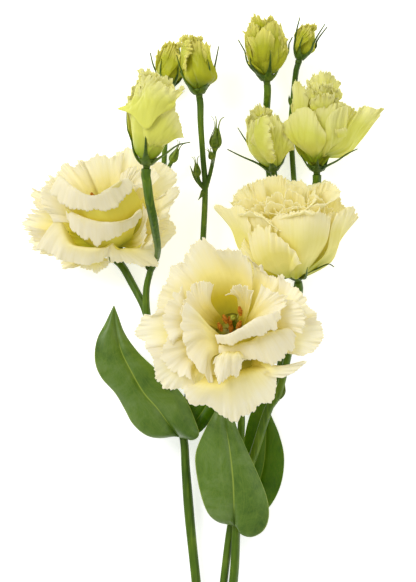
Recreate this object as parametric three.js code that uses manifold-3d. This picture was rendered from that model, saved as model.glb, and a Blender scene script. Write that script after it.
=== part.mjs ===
// A cut lisianthus spray that lies on its back: one branched stem with three open double
// blooms, seven large buds, four small side buds and four leaves.
// Millimetres. x runs across the spray, y from the cut end to the buds, z up from the surface.

import * as THREE from 'three';
import Module from 'manifold-3d';

const wasm = await Module();
wasm.setup();

// ---------------------------------------------------------------- driving sizes

const PETAL_THICKNESS = 0.8;
const LEAF_THICKNESS = 1;
const SEAT_GAP = 0.3;               // left between pieces that touch
const PETAL_ROWS = 4;               // points along a petal of a bloom
const PETAL_COLUMNS = 5;            // points across it, one more on a broad one
const BROAD_PETAL = 17;
const BUD_PETAL_GRID = [5, 4];
const LEAF_GRID = [5, 9];
const STEM_SIDES = 6;
const STEM_STEP = 18;               // length of one facet of a stem
const BRACT_RADII = [0.9, 0.8, 0.25];
const BRACT_STEP = 4;
const SEPAL_STEPS = 3;
const CALYX_DEPTH = 3.2;            // from a flower's base down to the end of its stalk
const STALK_RUN = 6.5;              // from a flower's base to where its stalk turns onto the axis
const SEPAL_SECTION = [1.1, 0.5];   // half width at the root, half thickness
const SEPAL_CLEAR = 1;              // from a closed bud to the middle of a sepal on it
const WOUND_PETALS = 3;             // petals wound round a closed bud
const BUD_SIDES = 9;
const BUD_STEP = 0.28;              // height of a free petal edge, as a share of the girth
const BUD_FRINGE = 1.6;             // depth of the cut tips
const BUD_OUTLINE = [[0, 0.2], [0.12, 0.82], [0.28, 1], [0.48, 0.92], [0.68, 0.7], [0.85, 0.5], [1, 0.36]];
const SPRAY_CENTRE = [-2.52, -45.81];   // middle of the spray's breadth and length

const COLOURS = {
  petal: 0xf3ecc8,
  petalGreen: 0xe6e6a0,
  bud: 0xc3cf6a,
  calyx: 0x557a2c,
  stem: 0x4d7a2e,
  leaf: 0x45703a,
  anther: 0xb5651d,
  pistil: 0x7f9a35,
};

// A flower stands on its base and opens along its axis. lean tips the axis to the right of
// straight up the spray, rise tips it up from the surface, both in degrees. Azimuth phi is
// 0 on the side that faces up, 90 on the right, 180 below and -90 on the left.
// A track is the side view of a petal or sepal: [distance from the axis, height] in order.
// width is half the petal's breadth, cup how flat it lies round the axis, outline its breadth
// along its length, rim how far each part of its margin reaches and waves its [height, count].

const BLOOMS = {
  centre: {
    base: [10.4, -19.5, 36], lean: -4, rise: 58, cup: 4.6, colour: COLOURS.petal,
    core: [[0, 0], [2.4, 0.3], [6.5, 6], [7, 9.5], [3, 11.5], [0, 11.5]],
    petals: [
      { phi: -4, track: [[1.5, 0], [9, 10], [20, 16], [30, 15], [38, 8]], width: 22, cup: 1.5,
        rim: [0.78, 0.97, 1, 0.95, 0.75], seed: 1 },
      { phi: -46, track: [[1.5, 0], [9, 11], [20, 17], [30, 18], [38, 13]], width: 19, cup: 1.4, seed: 2 },
      { phi: -84, track: [[1.5, 0], [8, 12], [18, 21], [29, 24], [37, 22]], width: 18, cup: 1.4, seed: 3 },
      { phi: -118, track: [[1.5, 0], [8, 12], [17, 22], [26, 26], [32, 27]], width: 16, cup: 1.3,
        seed: 4 },
      { phi: -166, track: [[1.5, 0], [8, 13], [14, 24], [19, 32], [26, 36]], width: 18, cup: 1.25,
        seed: 5 },
      { phi: 150, track: [[1.5, 0], [8, 12], [16, 22], [23, 28], [28, 30]], width: 16, cup: 1.3, seed: 6 },
      { phi: 114, track: [[1.5, 0], [8, 12], [18, 21], [28, 25], [35, 25]], width: 16, cup: 1.3, seed: 7 },
      { phi: 76, track: [[1.5, 0], [9, 11], [20, 18], [30, 19], [38, 15]], width: 19, cup: 1.4, seed: 9 },
      { phi: 48, track: [[1.5, 0], [9, 9], [18, 14], [27, 16], [36, 15]], width: 8, cup: 0.6,
        outline: [0.4, 0.9, 1, 0.5], rim: [0.5, 0.72, 1.05, 0.72, 0.5], twist: 14, seed: 8 },
      { phi: -60, track: [[1.3, 0], [7, 12], [12, 21], [16, 26], [24, 25]], width: 19, cup: 2.6,
        outline: [0.16, 0.45, 0.8, 1], rim: [0.85, 0.97, 1, 0.97, 0.85], seed: 11 },
      { phi: 80, track: [[1.3, 0], [6, 12], [11, 22], [18, 27], [27, 27]], width: 15, cup: 1.2, seed: 14 },
      { phi: 24, track: [[1.2, 0], [7, 12], [11, 19], [15, 22], [25, 19]], width: 18, cup: 1.6,
        rim: [0.85, 0.97, 1, 1, 0.92], seed: 17 },
      { phi: 12, track: [[1.1, 0], [5.5, 12], [7, 19], [9.5, 24], [17, 22]], width: 15, cup: 1.6,
        rim: [0.85, 0.97, 1, 1, 0.92], seed: 13 },
    ],
    sepals: [
      { phi: -150, track: [[1.5, -1.5], [6, 1], [9.5, 6], [13, 10], [17, 13]] },
      { phi: -78, track: [[1.5, -1.5], [6, 1], [9.5, 6], [13, 10], [17, 13]] },
      { phi: -6, track: [[1.5, -1.5], [6, 1], [9.5, 6], [13, 10], [17, 13]] },
      { phi: 66, track: [[1.5, -1.5], [6, 1], [9.5, 6], [13, 10], [17, 13]] },
      { phi: 138, track: [[1.5, -1.5], [6, 1], [9.5, 6], [13, 10], [17, 13]] },
    ],
  },
  left: {
    base: [-38.6, 17.9, 6], lean: -11, rise: 32, cup: 4.4, colour: COLOURS.petal,
    core: [[0, 0], [2.4, 0.3], [7, 6], [7.5, 9.5], [3, 11.5], [0, 11.5]],
    petals: [
      { phi: 0, track: [[1.1, 0], [6, 14], [10, 25], [14, 32], [20, 27]], width: 17, cup: 1.05,
        rim: [0.92, 0.98, 1, 0.97, 0.88], seed: 21 },
      { phi: -62, track: [[1.1, 0], [6, 14], [11, 26], [16, 33], [24, 33]], width: 15, cup: 1.05,
        seed: 22 },
      { phi: 178, track: [[1.1, 0], [6, 14], [11, 26], [16, 34], [21, 39]], width: 16, cup: 1.05,
        seed: 24 },
      { phi: 62, track: [[1.1, 0], [6, 14], [11, 26], [16, 33], [24, 31]], width: 15, cup: 1.05,
        seed: 26 },
      { phi: 5, track: [[1.3, 0], [9, 12], [16, 20], [21, 24], [26, 15]], width: 15.5, cup: 1.15,
        rim: [0.9, 0.98, 1, 0.98, 0.9], seed: 31 },
      { phi: -74, track: [[1.3, 0], [8, 12], [16, 22], [24, 28], [31, 29]], width: 15, cup: 1.15,
        seed: 33 },
      { phi: 108, track: [[1.3, 0], [8, 12], [15, 22], [22, 28], [29, 30]], width: 15, cup: 1.15,
        seed: 36 },
      { phi: -36, track: [[1.5, 0], [11, 9], [20, 15], [27, 18], [32, 9]], width: 20, cup: 1.2,
        rim: [0.85, 1, 1, 0.96, 0.8], seed: 41 },
      { phi: -86, track: [[1.5, 0], [10, 10], [20, 18], [28, 22], [35, 21]], width: 15, cup: 1.2,
        seed: 43 },
      { phi: 41, track: [[1.5, 0], [10, 9], [18, 12], [24, 10], [28, -2]], width: 11, cup: 1.2,
        rim: [0.8, 0.97, 1, 0.62, 0.3], seed: 42 },
      { phi: -8, track: [[1.5, 0], [10, 7], [18, 9], [24, 7], [29, 0]], width: 15, cup: 1.2, seed: 45 },
      { phi: 88, track: [[1.5, 0], [9, 9], [17, 14], [23, 16], [30, 16]], width: 13, cup: 1, seed: 44 },
      { phi: -168, track: [[1.5, 0], [9, 11], [16, 19], [21, 25], [26, 29]], width: 14, cup: 1.2,
        seed: 47 },
    ],
    sepals: [
      { phi: -8, track: [[1.5, -1.5], [6, 1], [9, 5], [12, 6], [15, 2]] },
      { phi: -80, track: [[1.5, -1.5], [6, 1], [9.5, 6], [13, 10], [17, 13]] },
      { phi: -152, track: [[1.5, -1.5], [6, 1], [9.5, 6], [13, 10], [17, 13]] },
      { phi: 64, track: [[1.5, -1.5], [6, 1], [9.5, 6], [13, 10], [17, 13]] },
      { phi: 136, track: [[1.5, -1.5], [6, 1], [9.5, 6], [13, 10], [17, 13]] },
    ],
  },
  right: {
    base: [35.8, 6.8, 20], lean: -9, rise: 20, cup: 4.8, colour: COLOURS.petalGreen,
    core: [[0, 0.3], [5, 0.8], [9, 2.2], [12, 5.5], [11, 10], [0, 13]],
    petals: [
      { phi: 14, track: [[2, 0], [14, 5], [19, 16], [21, 26], [26, 31]], width: 21, cup: 1.05,
        outline: [0.3, 0.66, 0.9, 1], rim: [0.92, 1, 1, 1, 0.95], seed: 51 },
      { phi: -38, track: [[2, 0], [15, 6], [21, 17], [23, 27], [26, 33]], width: 13, cup: 1.05,
        outline: [0.3, 0.8, 1, 0.62], rim: [0.6, 0.85, 1, 0.85, 0.6], seed: 52 },
      { phi: 70, track: [[2, 0], [14, 5], [20, 13], [24, 19], [30, 22]], width: 16, cup: 1.1,
        outline: [0.3, 0.75, 0.95, 1], rim: [0.8, 0.95, 1, 0.9, 0.7], seed: 53 },
      { phi: -82, track: [[2, 0], [13, 8], [19, 19], [24, 29], [32, 34]], width: 13, cup: 1.1,
        outline: [0.3, 0.75, 1, 0.9], rim: [0.6, 0.9, 1.05, 0.85, 0.6], seed: 54 },
      { phi: 150, track: [[2, 0], [12, 7], [16, 17], [17, 25], [19, 30]], width: 18, cup: 1.1,
        outline: [0.3, 0.66, 0.9, 1], seed: 55 },
      { phi: -140, track: [[2, 0], [12, 7], [16, 17], [17, 25], [19, 30]], width: 18, cup: 1.1,
        outline: [0.3, 0.66, 0.9, 1], seed: 56 },
      { phi: 20, track: [[1.6, 0], [8, 9], [13, 20], [17, 28], [22, 31]], width: 15, cup: 1.05, seed: 61 },
      { phi: 74, track: [[1.6, 0], [8, 9], [13, 20], [18, 29], [24, 32]], width: 14, cup: 1.05, seed: 62 },
      { phi: 128, track: [[1.6, 0], [8, 9], [13, 21], [17, 31], [23, 37]], width: 14, cup: 1.05,
        seed: 63 },
      { phi: -176, track: [[1.6, 0], [8, 9], [13, 21], [17, 32], [22, 38]], width: 15, cup: 1.05,
        seed: 64 },
      { phi: -120, track: [[1.6, 0], [8, 9], [13, 21], [17, 31], [22, 37]], width: 14, cup: 1.05,
        seed: 65 },
      { phi: -60, track: [[1.6, 0], [8, 9], [13, 20], [17, 30], [22, 35]], width: 14, cup: 1.05,
        seed: 66 },
      { phi: 0, track: [[1.3, 0], [5, 10], [8, 20], [9, 28], [13, 31]], width: 11, cup: 1, seed: 71 },
      { phi: 90, track: [[1.3, 0], [5, 10], [8, 20], [9, 28], [13, 32]], width: 11, cup: 1, seed: 72 },
      { phi: 180, track: [[1.3, 0], [5, 10], [8, 20], [9, 29], [13, 34]], width: 11, cup: 1, seed: 73 },
    ],
    sepals: [
      { phi: -60, track: [[2, -1.5], [8, -0.4], [14, 2], [18.5, 5.5], [21, 10]] },
      { phi: 12, track: [[2, -1.5], [8, -0.6], [13.5, 1.4], [17.5, 4.6], [19.4, 9]] },
      { phi: 62, track: [[2, -1.5], [8, -0.6], [14, 1.2], [18, 2.6], [22, 3.6]] },
      { phi: 140, track: [[2, -1.5], [8, -0.6], [14, 2], [17.5, 6], [19, 11]] },
      { phi: -140, track: [[2, -1.5], [8, -0.6], [14, 2], [17.5, 6], [19, 11]] },
    ],
  },
};

const BUDS = {
  bud_front: {
    base: [-24.1, 51.8, 47], lean: 4, rise: 8, cup: 4.2,
    girth: 9.6, height: 33, wind: -0.35, seed: 100,
    petals: [
      { phi: -80, track: [[1.8, 0], [8, 6], [10, 12], [10, 18], [15, 21]], width: 9,
        outline: [0.3, 0.9, 1, 0.5], rim: [0.3, 0.6, 1.1, 0.6, 0.3], seed: 103 },
      { phi: 95, track: [[1.8, 0], [8, 4], [11.5, 9], [13, 13], [14, 18]], width: 9,
        rim: [0.6, 0.9, 1, 0.8, 0.5], seed: 104 },
    ],
    sepals: [
      { phi: -100, track: [[1.5, -1.5], [6, 1], [8, 6], [10, 13], [12, 20]] },
      { phi: -6, track: [[1.5, -1.5], [6, 1], [8, 5], [8.6, 9], [8.8, 12]] },
      { phi: 72, track: [[1.5, -1.5], [6, 1], [9, 4.5], [13, 7.5], [19, 8.5]] },
      { phi: 150, track: [[1.5, -1.5], [6, 1], [8.6, 6], [9.6, 12], [9, 17]] },
    ],
  },
  bud_middle: {
    base: [-3.6, 79.8, 18], lean: -6, rise: 6, cup: 3.6,
    girth: 7.6, height: 24, wind: -0.35, seed: 110,
    petals: [],
    sepals: [
      { phi: -62, track: [[1.4, -1.5], [5, 1], [7, 5], [8.5, 10], [9.6, 16]] },
      { phi: 40, track: [[1.4, -1.5], [5, 1], [6.8, 5], [8.2, 10], [9, 15]] },
      { phi: 98, track: [[1.4, -1.5], [5, 1], [8, 6], [9.5, 11], [11.5, 17]] },
      { phi: -110, track: [[1.4, -1.5], [5, 1], [7.4, 7], [7.6, 12], [7, 18]] },
      { phi: 175, track: [[1.4, -1.5], [5, 1], [7, 6], [7, 11], [6, 15]] },
    ],
  },
  bud_back: {
    base: [-16.2, 83.2, 8], lean: 4, rise: 6, cup: 2.8,
    girth: 5.6, height: 17, wind: -0.35, seed: 120,
    petals: [],
    sepals: [
      { phi: -95, track: [[1.1, -1.2], [4, 1], [6, 4], [7.5, 8], [8.5, 13]] },
      { phi: -40, track: [[1.1, -1.2], [4, 1], [5.4, 4], [6, 8], [6, 11]] },
      { phi: 45, track: [[1.1, -1.2], [4, 1], [5.2, 4], [5.4, 8], [5.6, 12]] },
      { phi: 95, track: [[1.1, -1.2], [4, 1], [5.6, 4], [5.8, 8], [6, 12]] },
    ],
  },
  bud_top: {
    base: [23.7, 86.9, 14], lean: -3, rise: 8, cup: 3.8,
    girth: 8, height: 24, wind: -0.35, seed: 130,
    petals: [
      { phi: -80, track: [[1.7, 0], [6.5, 4], [8.8, 11], [7.5, 17], [6.5, 22]], width: 9,
        rim: [0.75, 0.95, 1, 0.8, 0.5], seed: 133 },
    ],
    sepals: [
      { phi: -78, track: [[1.4, -1.5], [5, 1], [7, 6], [9, 11], [11.5, 16]] },
      { phi: -45, track: [[1.4, -1.5], [5, 1], [7.4, 3.6], [8, 6], [8.4, 8]] },
      { phi: 12, track: [[1.4, -1.5], [5, 1], [7, 4.5], [7.4, 8], [7.6, 11]] },
      { phi: 76, track: [[1.4, -1.5], [5, 1], [7.4, 6], [9.4, 11], [12, 16]] },
      { phi: 165, track: [[1.4, -1.5], [5, 1], [7, 6], [7.6, 11], [7, 15]] },
    ],
  },
  bud_tip: {
    base: [37.4, 95.4, 14], lean: 16, rise: 6, cup: 2.7,
    girth: 4.2, height: 12.5, wind: -0.35, seed: 140,
    petals: [],
    sepals: [
      { phi: -75, track: [[1.1, -1.2], [3.6, 1], [5, 4], [5, 8], [4.4, 13]] },
      { phi: -15, track: [[1.1, -1.2], [3.6, 1], [4.4, 3.5], [4.2, 6], [4, 8]] },
      { phi: 60, track: [[1.1, -1.2], [3.6, 1], [4.6, 4], [5.4, 8], [7.4, 13]] },
      { phi: 100, track: [[1.1, -1.2], [3.6, 1], [5, 4], [6, 8], [8, 12]] },
    ],
  },
  bud_low: {
    base: [26.1, 50.3, 10.4], lean: -12, rise: 8, cup: 3.6,
    girth: 7.2, height: 22.5, wind: -0.35, seed: 150,
    petals: [],
    sepals: [
      { phi: -84, track: [[1.4, -1.5], [5, 1], [8, 4], [13, 8], [17, 11]] },
      { phi: 0, track: [[1.4, -1.5], [5, 1], [7.4, 4], [8, 7], [8, 10]] },
      { phi: 66, track: [[1.4, -1.5], [5, 1], [7, 4], [8.2, 8], [9, 11]] },
      { phi: -120, track: [[1.4, -1.5], [5, 1], [8, 7], [11, 13], [13, 18]] },
    ],
  },
  bud_open: {
    base: [44.1, 50.4, 13.2], lean: 1, rise: 12, cup: 4.2,
    girth: 9, height: 36, wind: -0.35, seed: 160,
    petals: [
      { phi: 100, track: [[1.9, 0], [9, 6], [14, 12], [18, 17], [24, 22]], width: 13,
        rim: [0.6, 0.9, 1.1, 0.85, 0.6], seed: 161 },
      { phi: 30, track: [[2, 0], [9, 5], [13, 12], [13, 20], [11, 26]], width: 15,
        rim: [0.9, 1, 1, 0.9, 0.7], seed: 162 },
      { phi: -58, track: [[2, 0], [8.5, 4], [11.5, 10], [12, 17], [11.5, 24]], width: 13,
        rim: [0.65, 0.85, 1, 0.95, 0.8], seed: 163 },
    ],
    sepals: [
      { phi: -75, track: [[1.5, -1.5], [5, 0.6], [6.4, 2.5], [6.8, 4], [7, 5]] },
      { phi: 70, track: [[1.5, -1.5], [6, 0.6], [9, 3], [13, 6], [17, 8.5]] },
      { phi: 130, track: [[1.5, -1.5], [5, 1], [7, 3], [8, 5], [8.6, 7]] },
      { phi: -140, track: [[1.5, -1.5], [5, 1], [7, 3], [8, 5], [8.4, 7]] },
      { phi: 0, track: [[1.5, -1.5], [5.4, 0.8], [7, 2.2], [7.6, 3.4], [8, 4.6]] },
    ],
  },
};

// The small green side buds: a closed body with thin sepal tips.
const SIDE_BUDS = {
  side_bud_1: { base: [-15.2, 53, 8], lean: 24, rise: 8, height: 7.4, girth: 1.9 },
  side_bud_2: { base: [-4.2, 46.4, 16], lean: -6, rise: 8, height: 5.6, girth: 1.7 },
  side_bud_3: { base: [2.8, 57.7, 16], lean: 5, rise: 6, height: 8.6, girth: 2.5 },
  side_bud_4: { base: [1.8, 53.3, 21.5], lean: -22, rise: 40, height: 3.6, girth: 1.4 },
};

const LEAVES = {
  left: {
    midrib: [[-10.5, -57.8, 13.5], [-16.1, -50.4, 18], [-23.3, -41.9, 21], [-30.2, -32.2, 22],
      [-34.6, -20.9, 21], [-38.1, -6.4, 20]],
    left: [7, 12.5, 14, 14.5, 11.5, 6.5, 1.2, 0],
    right: [6, 11.5, 12, 10.5, 9, 6, 2.5, 0],
    sweep: [-62, 30], fold: [12, 20], droop: [3, 3], wave: [0.9, 2.2],
  },
  centre: {
    midrib: [[9.7, -94.4, 11.5], [9.7, -82.4, 16], [9.3, -70.1, 18.5], [8.5, -58.4, 19],
      [6.5, -44.8, 18]],
    left: [4.5, 10.5, 13.5, 13.8, 11, 6, 0],
    right: [9, 15, 14.5, 11.5, 8.5, 5, 0],
    sweep: [-62, 25], fold: [10, 12], droop: [1.5, 3], wave: [0.5, 1.6],
  },
  left_back: {
    midrib: [[-8.5, -56.4, 10], [-4.9, -52.3, 10.2], [-0.8, -46.2, 10.4], [3.2, -38.1, 10.5],
      [6.5, -28.8, 10]],
    left: [4, 8, 10, 8, 5, 0],
    right: [4, 8, 10, 8, 5, 0],
    sweep: [-50, 30], fold: [8, 8], droop: [1, 1], wave: [0.5, 1.6],
  },
  right_back: {
    midrib: [[12.2, -91.6, 4], [17.9, -82.7, 2.4], [22, -70.9, 1.8], [23.2, -57.5, 2.2], [22, -41.9, 4]],
    left: [4, 10, 11.5, 10.5, 7, 0],
    right: [3, 8.5, 9.5, 8.5, 6, 0],
    sweep: [-50, 30], fold: [3, 3], droop: [0.5, 0.5], wave: [0.3, 1.6],
  },
};

const BRANCHES = {
  side_bud_1: {
    route: [[-18.3, 45.2, 3], [-17.1, 48.4, 5]],
    radii: [0.9, 0.8, 0.8],
  },
  side_bud_2: {
    route: [[-1.2, 41.2, 14], [-3.2, 43.2, 15]],
    radii: [0.9, 0.8, 0.8],
  },
  side_bud_3: {
    route: [[-1.2, 40.8, 14], [0.8, 47.3, 15.5], [2, 52.9, 16]],
    radii: [1, 0.85, 0.8, 0.8],
  },
  side_bud_4: {
    route: [[1.6, 50.9, 15.8], [2, 52, 18]],
    radii: [0.7, 0.6, 0.6],
  },
  main: {
    route: [[0.8, -203.4, 2.3], [-0.4, -174.8, 2.9], [-1.6, -150.2, 4], [-4.9, -118.4, 5],
      [-7.5, -93.1, 6], [-9.1, -72.7, 7], [-10.1, -59.3, 8], [-14.6, -45.4, 9], [-20.7, -26, 9],
      [-24.5, -11, 9.5], [-25.1, 0.4, 10], [-23.1, 9.3, 11]],
    radii: [2.7, 2.3, 2, 1.9, 1.9, 1.9, 2, 1.7, 1.6, 1.6, 1.45, 1.3],
  },
  left: {
    route: [[-24.3, -12.6, 9.5], [-26.4, -5.7, 8], [-31.3, 3.7, 6], [-35, 10.2, 4.5]],
    radii: [1.4, 1.5, 1.55, 1.6, 1.7],
  },
  bud_front: {
    route: [[-23.5, 7.7, 11], [-20.8, 13.3, 16], [-20.1, 17.6, 26], [-20.9, 23.5, 34],
      [-21.9, 29.8, 40], [-23.2, 36.1, 44], [-24.2, 43.9, 45]],
    radii: [1.2, 1.2, 1.45, 1.7, 1.8, 1.9],
  },
  bud_back: {
    route: [[-23.1, 9.3, 11], [-20.7, 20.7, 6], [-19.1, 33, 3.5], [-18.3, 46, 3], [-17.7, 57.4, 3.5],
      [-17.1, 70.4, 5]],
    radii: [1.3, 1.2, 1.2, 1.1, 1.1, 1.1, 1.2],
  },
  bud_middle: {
    route: [[-10.1, -60.5, 8], [-8.5, -44.3, 7], [-6.1, -24, 7], [-3.7, -3.7, 8], [-2, 21.9, 11],
      [-1.2, 41.6, 14], [-2, 52.9, 16], [-3, 67, 17.5]],
    radii: [1.6, 1.4, 1.3, 1.2, 1.2, 1.2, 1.15, 1.15, 1.4],
  },
  centre: {
    route: [[0.4, -186.1, 3.4], [5.7, -146, 5], [10.2, -118.3, 6], [11.4, -95, 8], [12.2, -76.7, 9],
      [13.4, -54.3, 12], [12.7, -37.9, 17]],
    radii: [2, 1.9, 1.8, 1.8, 1.6, 1.5, 1.5, 1.7],
  },
  right: {
    route: [[0, -189, 3.2], [2.9, -150.3, 3.5], [6.3, -118.5, 4], [9.4, -95.2, 5], [13.4, -80.1, 6.5],
      [18.3, -67, 8], [24.3, -48.2, 10], [28, -42.5, 11], [30.8, -32.8, 12], [33.2, -21.8, 13],
      [35.4, -9.7, 15]],
    radii: [2, 1.7, 1.6, 1.6, 1.6, 1.7, 1.8, 1.8, 1.5, 1.5, 1.6],
  },
  bud_open: {
    route: [[27.6, -44.2, 11], [29.3, -30.1, 7], [31.8, -15.9, 3.5], [35.9, 0.4, 1.9],
      [38.7, 16.7, 1.1], [40.8, 28.1, 1.8], [42.5, 37, 4]],
    radii: [1.4, 1.4, 1.4, 1.4, 1.4, 1.4, 1.5, 1.8],
  },
  bud_tip: {
    route: [[38.3, 14.3, 1.4], [36.3, 31, 2.4], [34.6, 49.3, 4], [33.7, 67.5, 6], [34.7, 80.7, 9]],
    radii: [1.2, 1.1, 1.1, 1.1, 1.1, 1.2],
  },
  bud_top: {
    route: [[36.7, 4.5, 1.8], [31.8, 20.8, 1.8], [26.9, 35.1, 1.8], [24.5, 51.4, 1], [23.6, 67.6, 4]],
    radii: [1.2, 1.2, 1.2, 1.3, 1.4, 1.5],
  },
  bud_low: {
    route: [[32.2, 19.6, 1.8], [29.7, 31, 2.6]],
    radii: [1.1, 1.1, 1.1, 1.3],
  },
};

// Small pointed scales where the stem branches.
const BRACTS = [
  [[-23.1, 8.5, 11], [-24.9, 10.1, 12.5], [-25.5, 13.4, 13]],
  [[-22.7, 8.5, 11], [-21.5, 11, 9], [-21.1, 13.8, 8]],
  [[28.8, -43.4, 11], [30.8, -40.9, 10.5], [31.2, -38.1, 10]],
  [[-2, 42.1, 14], [-5.3, 46.1, 13.5], [-7.3, 50.6, 13]],
  [[-1.6, 40.8, 14], [-2.8, 38.4, 16], [-4, 36.7, 17]],
  [[34.3, 75.1, 7.5], [33.1, 77.5, 8], [32.9, 79.5, 8.5]],
  [[34.5, 79.1, 8.6], [35.7, 81.1, 9], [36.1, 83.1, 9.5]],
];

// The two blooms that are open in the middle show their stamens and pistil.
const STAMENS = {
  centre: { phis: [40, 90, 140, 190, 250, 310], length: 9, lean: 9 },
  left: { phis: [0, 72, 144, 216, 288], length: 9, lean: 9 },
};
const DISC = [[0, 0], [2.6, 0], [2.4, 1.1], [0, 1.1]];
const OVARY = [[0, 0], [1.1, 0.3], [1.2, 2.6], [0.6, 5], [0.6, 8.4], [1.3, 9.4], [0, 10.2]];
const FILAMENT_RADII = [0.5, 0.45, 0.4];
const ANTHER_RADII = [0.6, 1.1, 0.5];
const SIDE_BUD_OUTLINE = [[0, 0], [0.6, 0.05], [1, 0.4], [0.4, 0.9], [0, 1]];

// ---------------------------------------------------------------- small maths

const lerp = (a, b, f) => a + (b - a) * f;
const vector = ([x, y, z]) => new THREE.Vector3(x, y, z);

/** A repeatable value from 0 to 1 for a petal's seed and a place in its list of draws. */
function draw(seed, place) {
  const x = Math.sin(seed * 12.9898 + place * 78.233) * 43758.5453;
  return x - Math.floor(x);
}

/** A value read smoothly from an evenly spaced list, t from 0 to 1. */
function keyed(values, t) {
  const place = Math.min(Math.max(t, 0), 1) * (values.length - 1);
  const i = Math.min(Math.floor(place), values.length - 2);
  const f = place - i;
  const before = values[Math.max(i - 1, 0)];
  const after = values[Math.min(i + 2, values.length - 1)];
  return 0.5 * (2 * values[i] + (values[i + 1] - before) * f
    + (2 * before - 5 * values[i] + 4 * values[i + 1] - after) * f ** 2
    + (3 * values[i] - before - 3 * values[i + 1] + after) * f ** 3);
}

/** The axis of a flower, its side that faces up and its right side. */
function flowerFrame({ lean, rise }) {
  const l = THREE.MathUtils.degToRad(lean);
  const r = THREE.MathUtils.degToRad(rise);
  const axis = new THREE.Vector3(Math.cos(r) * Math.sin(l), Math.cos(r) * Math.cos(l), Math.sin(r));
  const front = new THREE.Vector3(0, 0, 1).addScaledVector(axis, -axis.z).normalize();
  return { axis, front, side: new THREE.Vector3().crossVectors(axis, front) };
}

/** The outward direction of a flower at an azimuth in radians. */
function outward(frame, angle) {
  return frame.front.clone().multiplyScalar(Math.cos(angle)).addScaledVector(frame.side, Math.sin(angle));
}

/** A track as a curve that goes on straight past its end. Gives [radius, height, slope angle]. */
function trackReader(points) {
  const places = points.map(([r, h]) => new THREE.Vector3(r, h, 0));
  const curve = new THREE.CatmullRomCurve3(places, false, 'catmullrom');
  const length = curve.getLength();
  const read = (t) => {
    const inside = Math.min(t, 1);
    const p = curve.getPointAt(inside);
    const d = curve.getTangentAt(inside);
    p.addScaledVector(d, (t - inside) * length);
    return [p.x, p.y, Math.atan2(d.x, d.y)];
  };
  return { read, length };
}

// ---------------------------------------------------------------- closed meshes

/** Positions and triangles as a solid that can be joined and cut. */
function solid(points, triangles) {
  const mesh = new wasm.Mesh({
    numProp: 3,
    vertProperties: new Float32Array(points.flatMap((p) => [p.x, p.y, p.z])),
    triVerts: new Uint32Array(triangles.flat()),
  });
  return new wasm.Manifold(mesh);
}

/** A sheet with thickness. rows[i][j] runs along and across, both faces are split alike. */
function sheetSolid(rows, thickness) {
  const last = rows.length - 1;
  const wide = rows[0].length - 1;
  const points = [];
  for (const side of [0.5, -0.5]) {
    rows.forEach((row, i) => row.forEach((p, j) => {
      const along = rows[Math.min(i + 1, last)][j].clone().sub(rows[Math.max(i - 1, 0)][j]);
      const across = row[Math.min(j + 1, wide)].clone().sub(row[Math.max(j - 1, 0)]);
      const normal = across.cross(along).normalize();
      points.push(p.clone().addScaledVector(normal, side * thickness));
    }));
  }
  const count = (last + 1) * (wide + 1);
  const at = (i, j, back) => i * (wide + 1) + j + (back ? count : 0);
  const triangles = [];
  for (let i = 0; i < last; i++) {
    for (let j = 0; j < wide; j++) {
      const [a, b, c, d] = [at(i, j), at(i, j + 1), at(i + 1, j + 1), at(i + 1, j)];
      triangles.push([a, b, c], [a, c, d]);
      triangles.push([a + count, c + count, b + count], [a + count, d + count, c + count]);
    }
  }
  const rim = [];
  for (let j = 0; j < wide; j++) rim.push([at(0, j), at(0, j + 1)]);
  for (let i = 0; i < last; i++) rim.push([at(i, wide), at(i + 1, wide)]);
  for (let j = wide; j > 0; j--) rim.push([at(last, j), at(last, j - 1)]);
  for (let i = last; i > 0; i--) rim.push([at(i, 0), at(i - 1, 0)]);
  for (const [p, q] of rim) triangles.push([q, p, p + count], [q, p + count, q + count]);
  return solid(points, triangles);
}

/** Closed rings of points joined to one skin, with a cap at each end. */
function ringSolid(rings) {
  const sides = rings[0].length;
  const points = rings.flat();
  const triangles = [];
  for (let k = 0; k < rings.length - 1; k++) {
    for (let j = 0; j < sides; j++) {
      const next = (j + 1) % sides;
      const [a, b, c, d] = [k * sides + j, k * sides + next, (k + 1) * sides + next, (k + 1) * sides + j];
      triangles.push([a, b, c], [a, c, d]);
    }
  }
  const top = (rings.length - 1) * sides;
  for (let j = 1; j < sides - 1; j++) {
    triangles.push([0, j + 1, j], [top, top + j, top + j + 1]);
  }
  return solid(points, triangles);
}

/** A round branch along a route whose radius is read from an evenly spaced list. */
function branchSolid(route, radii, sides = STEM_SIDES, step = STEM_STEP) {
  const curve = new THREE.CatmullRomCurve3(route, false, 'catmullrom');
  const steps = Math.max(2, Math.round(curve.getLength() / step));
  const { normals, binormals } = curve.computeFrenetFrames(steps);
  const rings = [];
  for (let k = 0; k <= steps; k++) {
    const centre = curve.getPointAt(k / steps);
    const radius = keyed(radii, k / steps);
    rings.push(Array.from({ length: sides }, (_, j) => {
      const angle = (2 * Math.PI * j) / sides;
      return centre.clone().addScaledVector(normals[k], radius * Math.cos(angle))
        .addScaledVector(binormals[k], radius * Math.sin(angle));
    }));
  }
  return ringSolid(rings);
}

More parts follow.
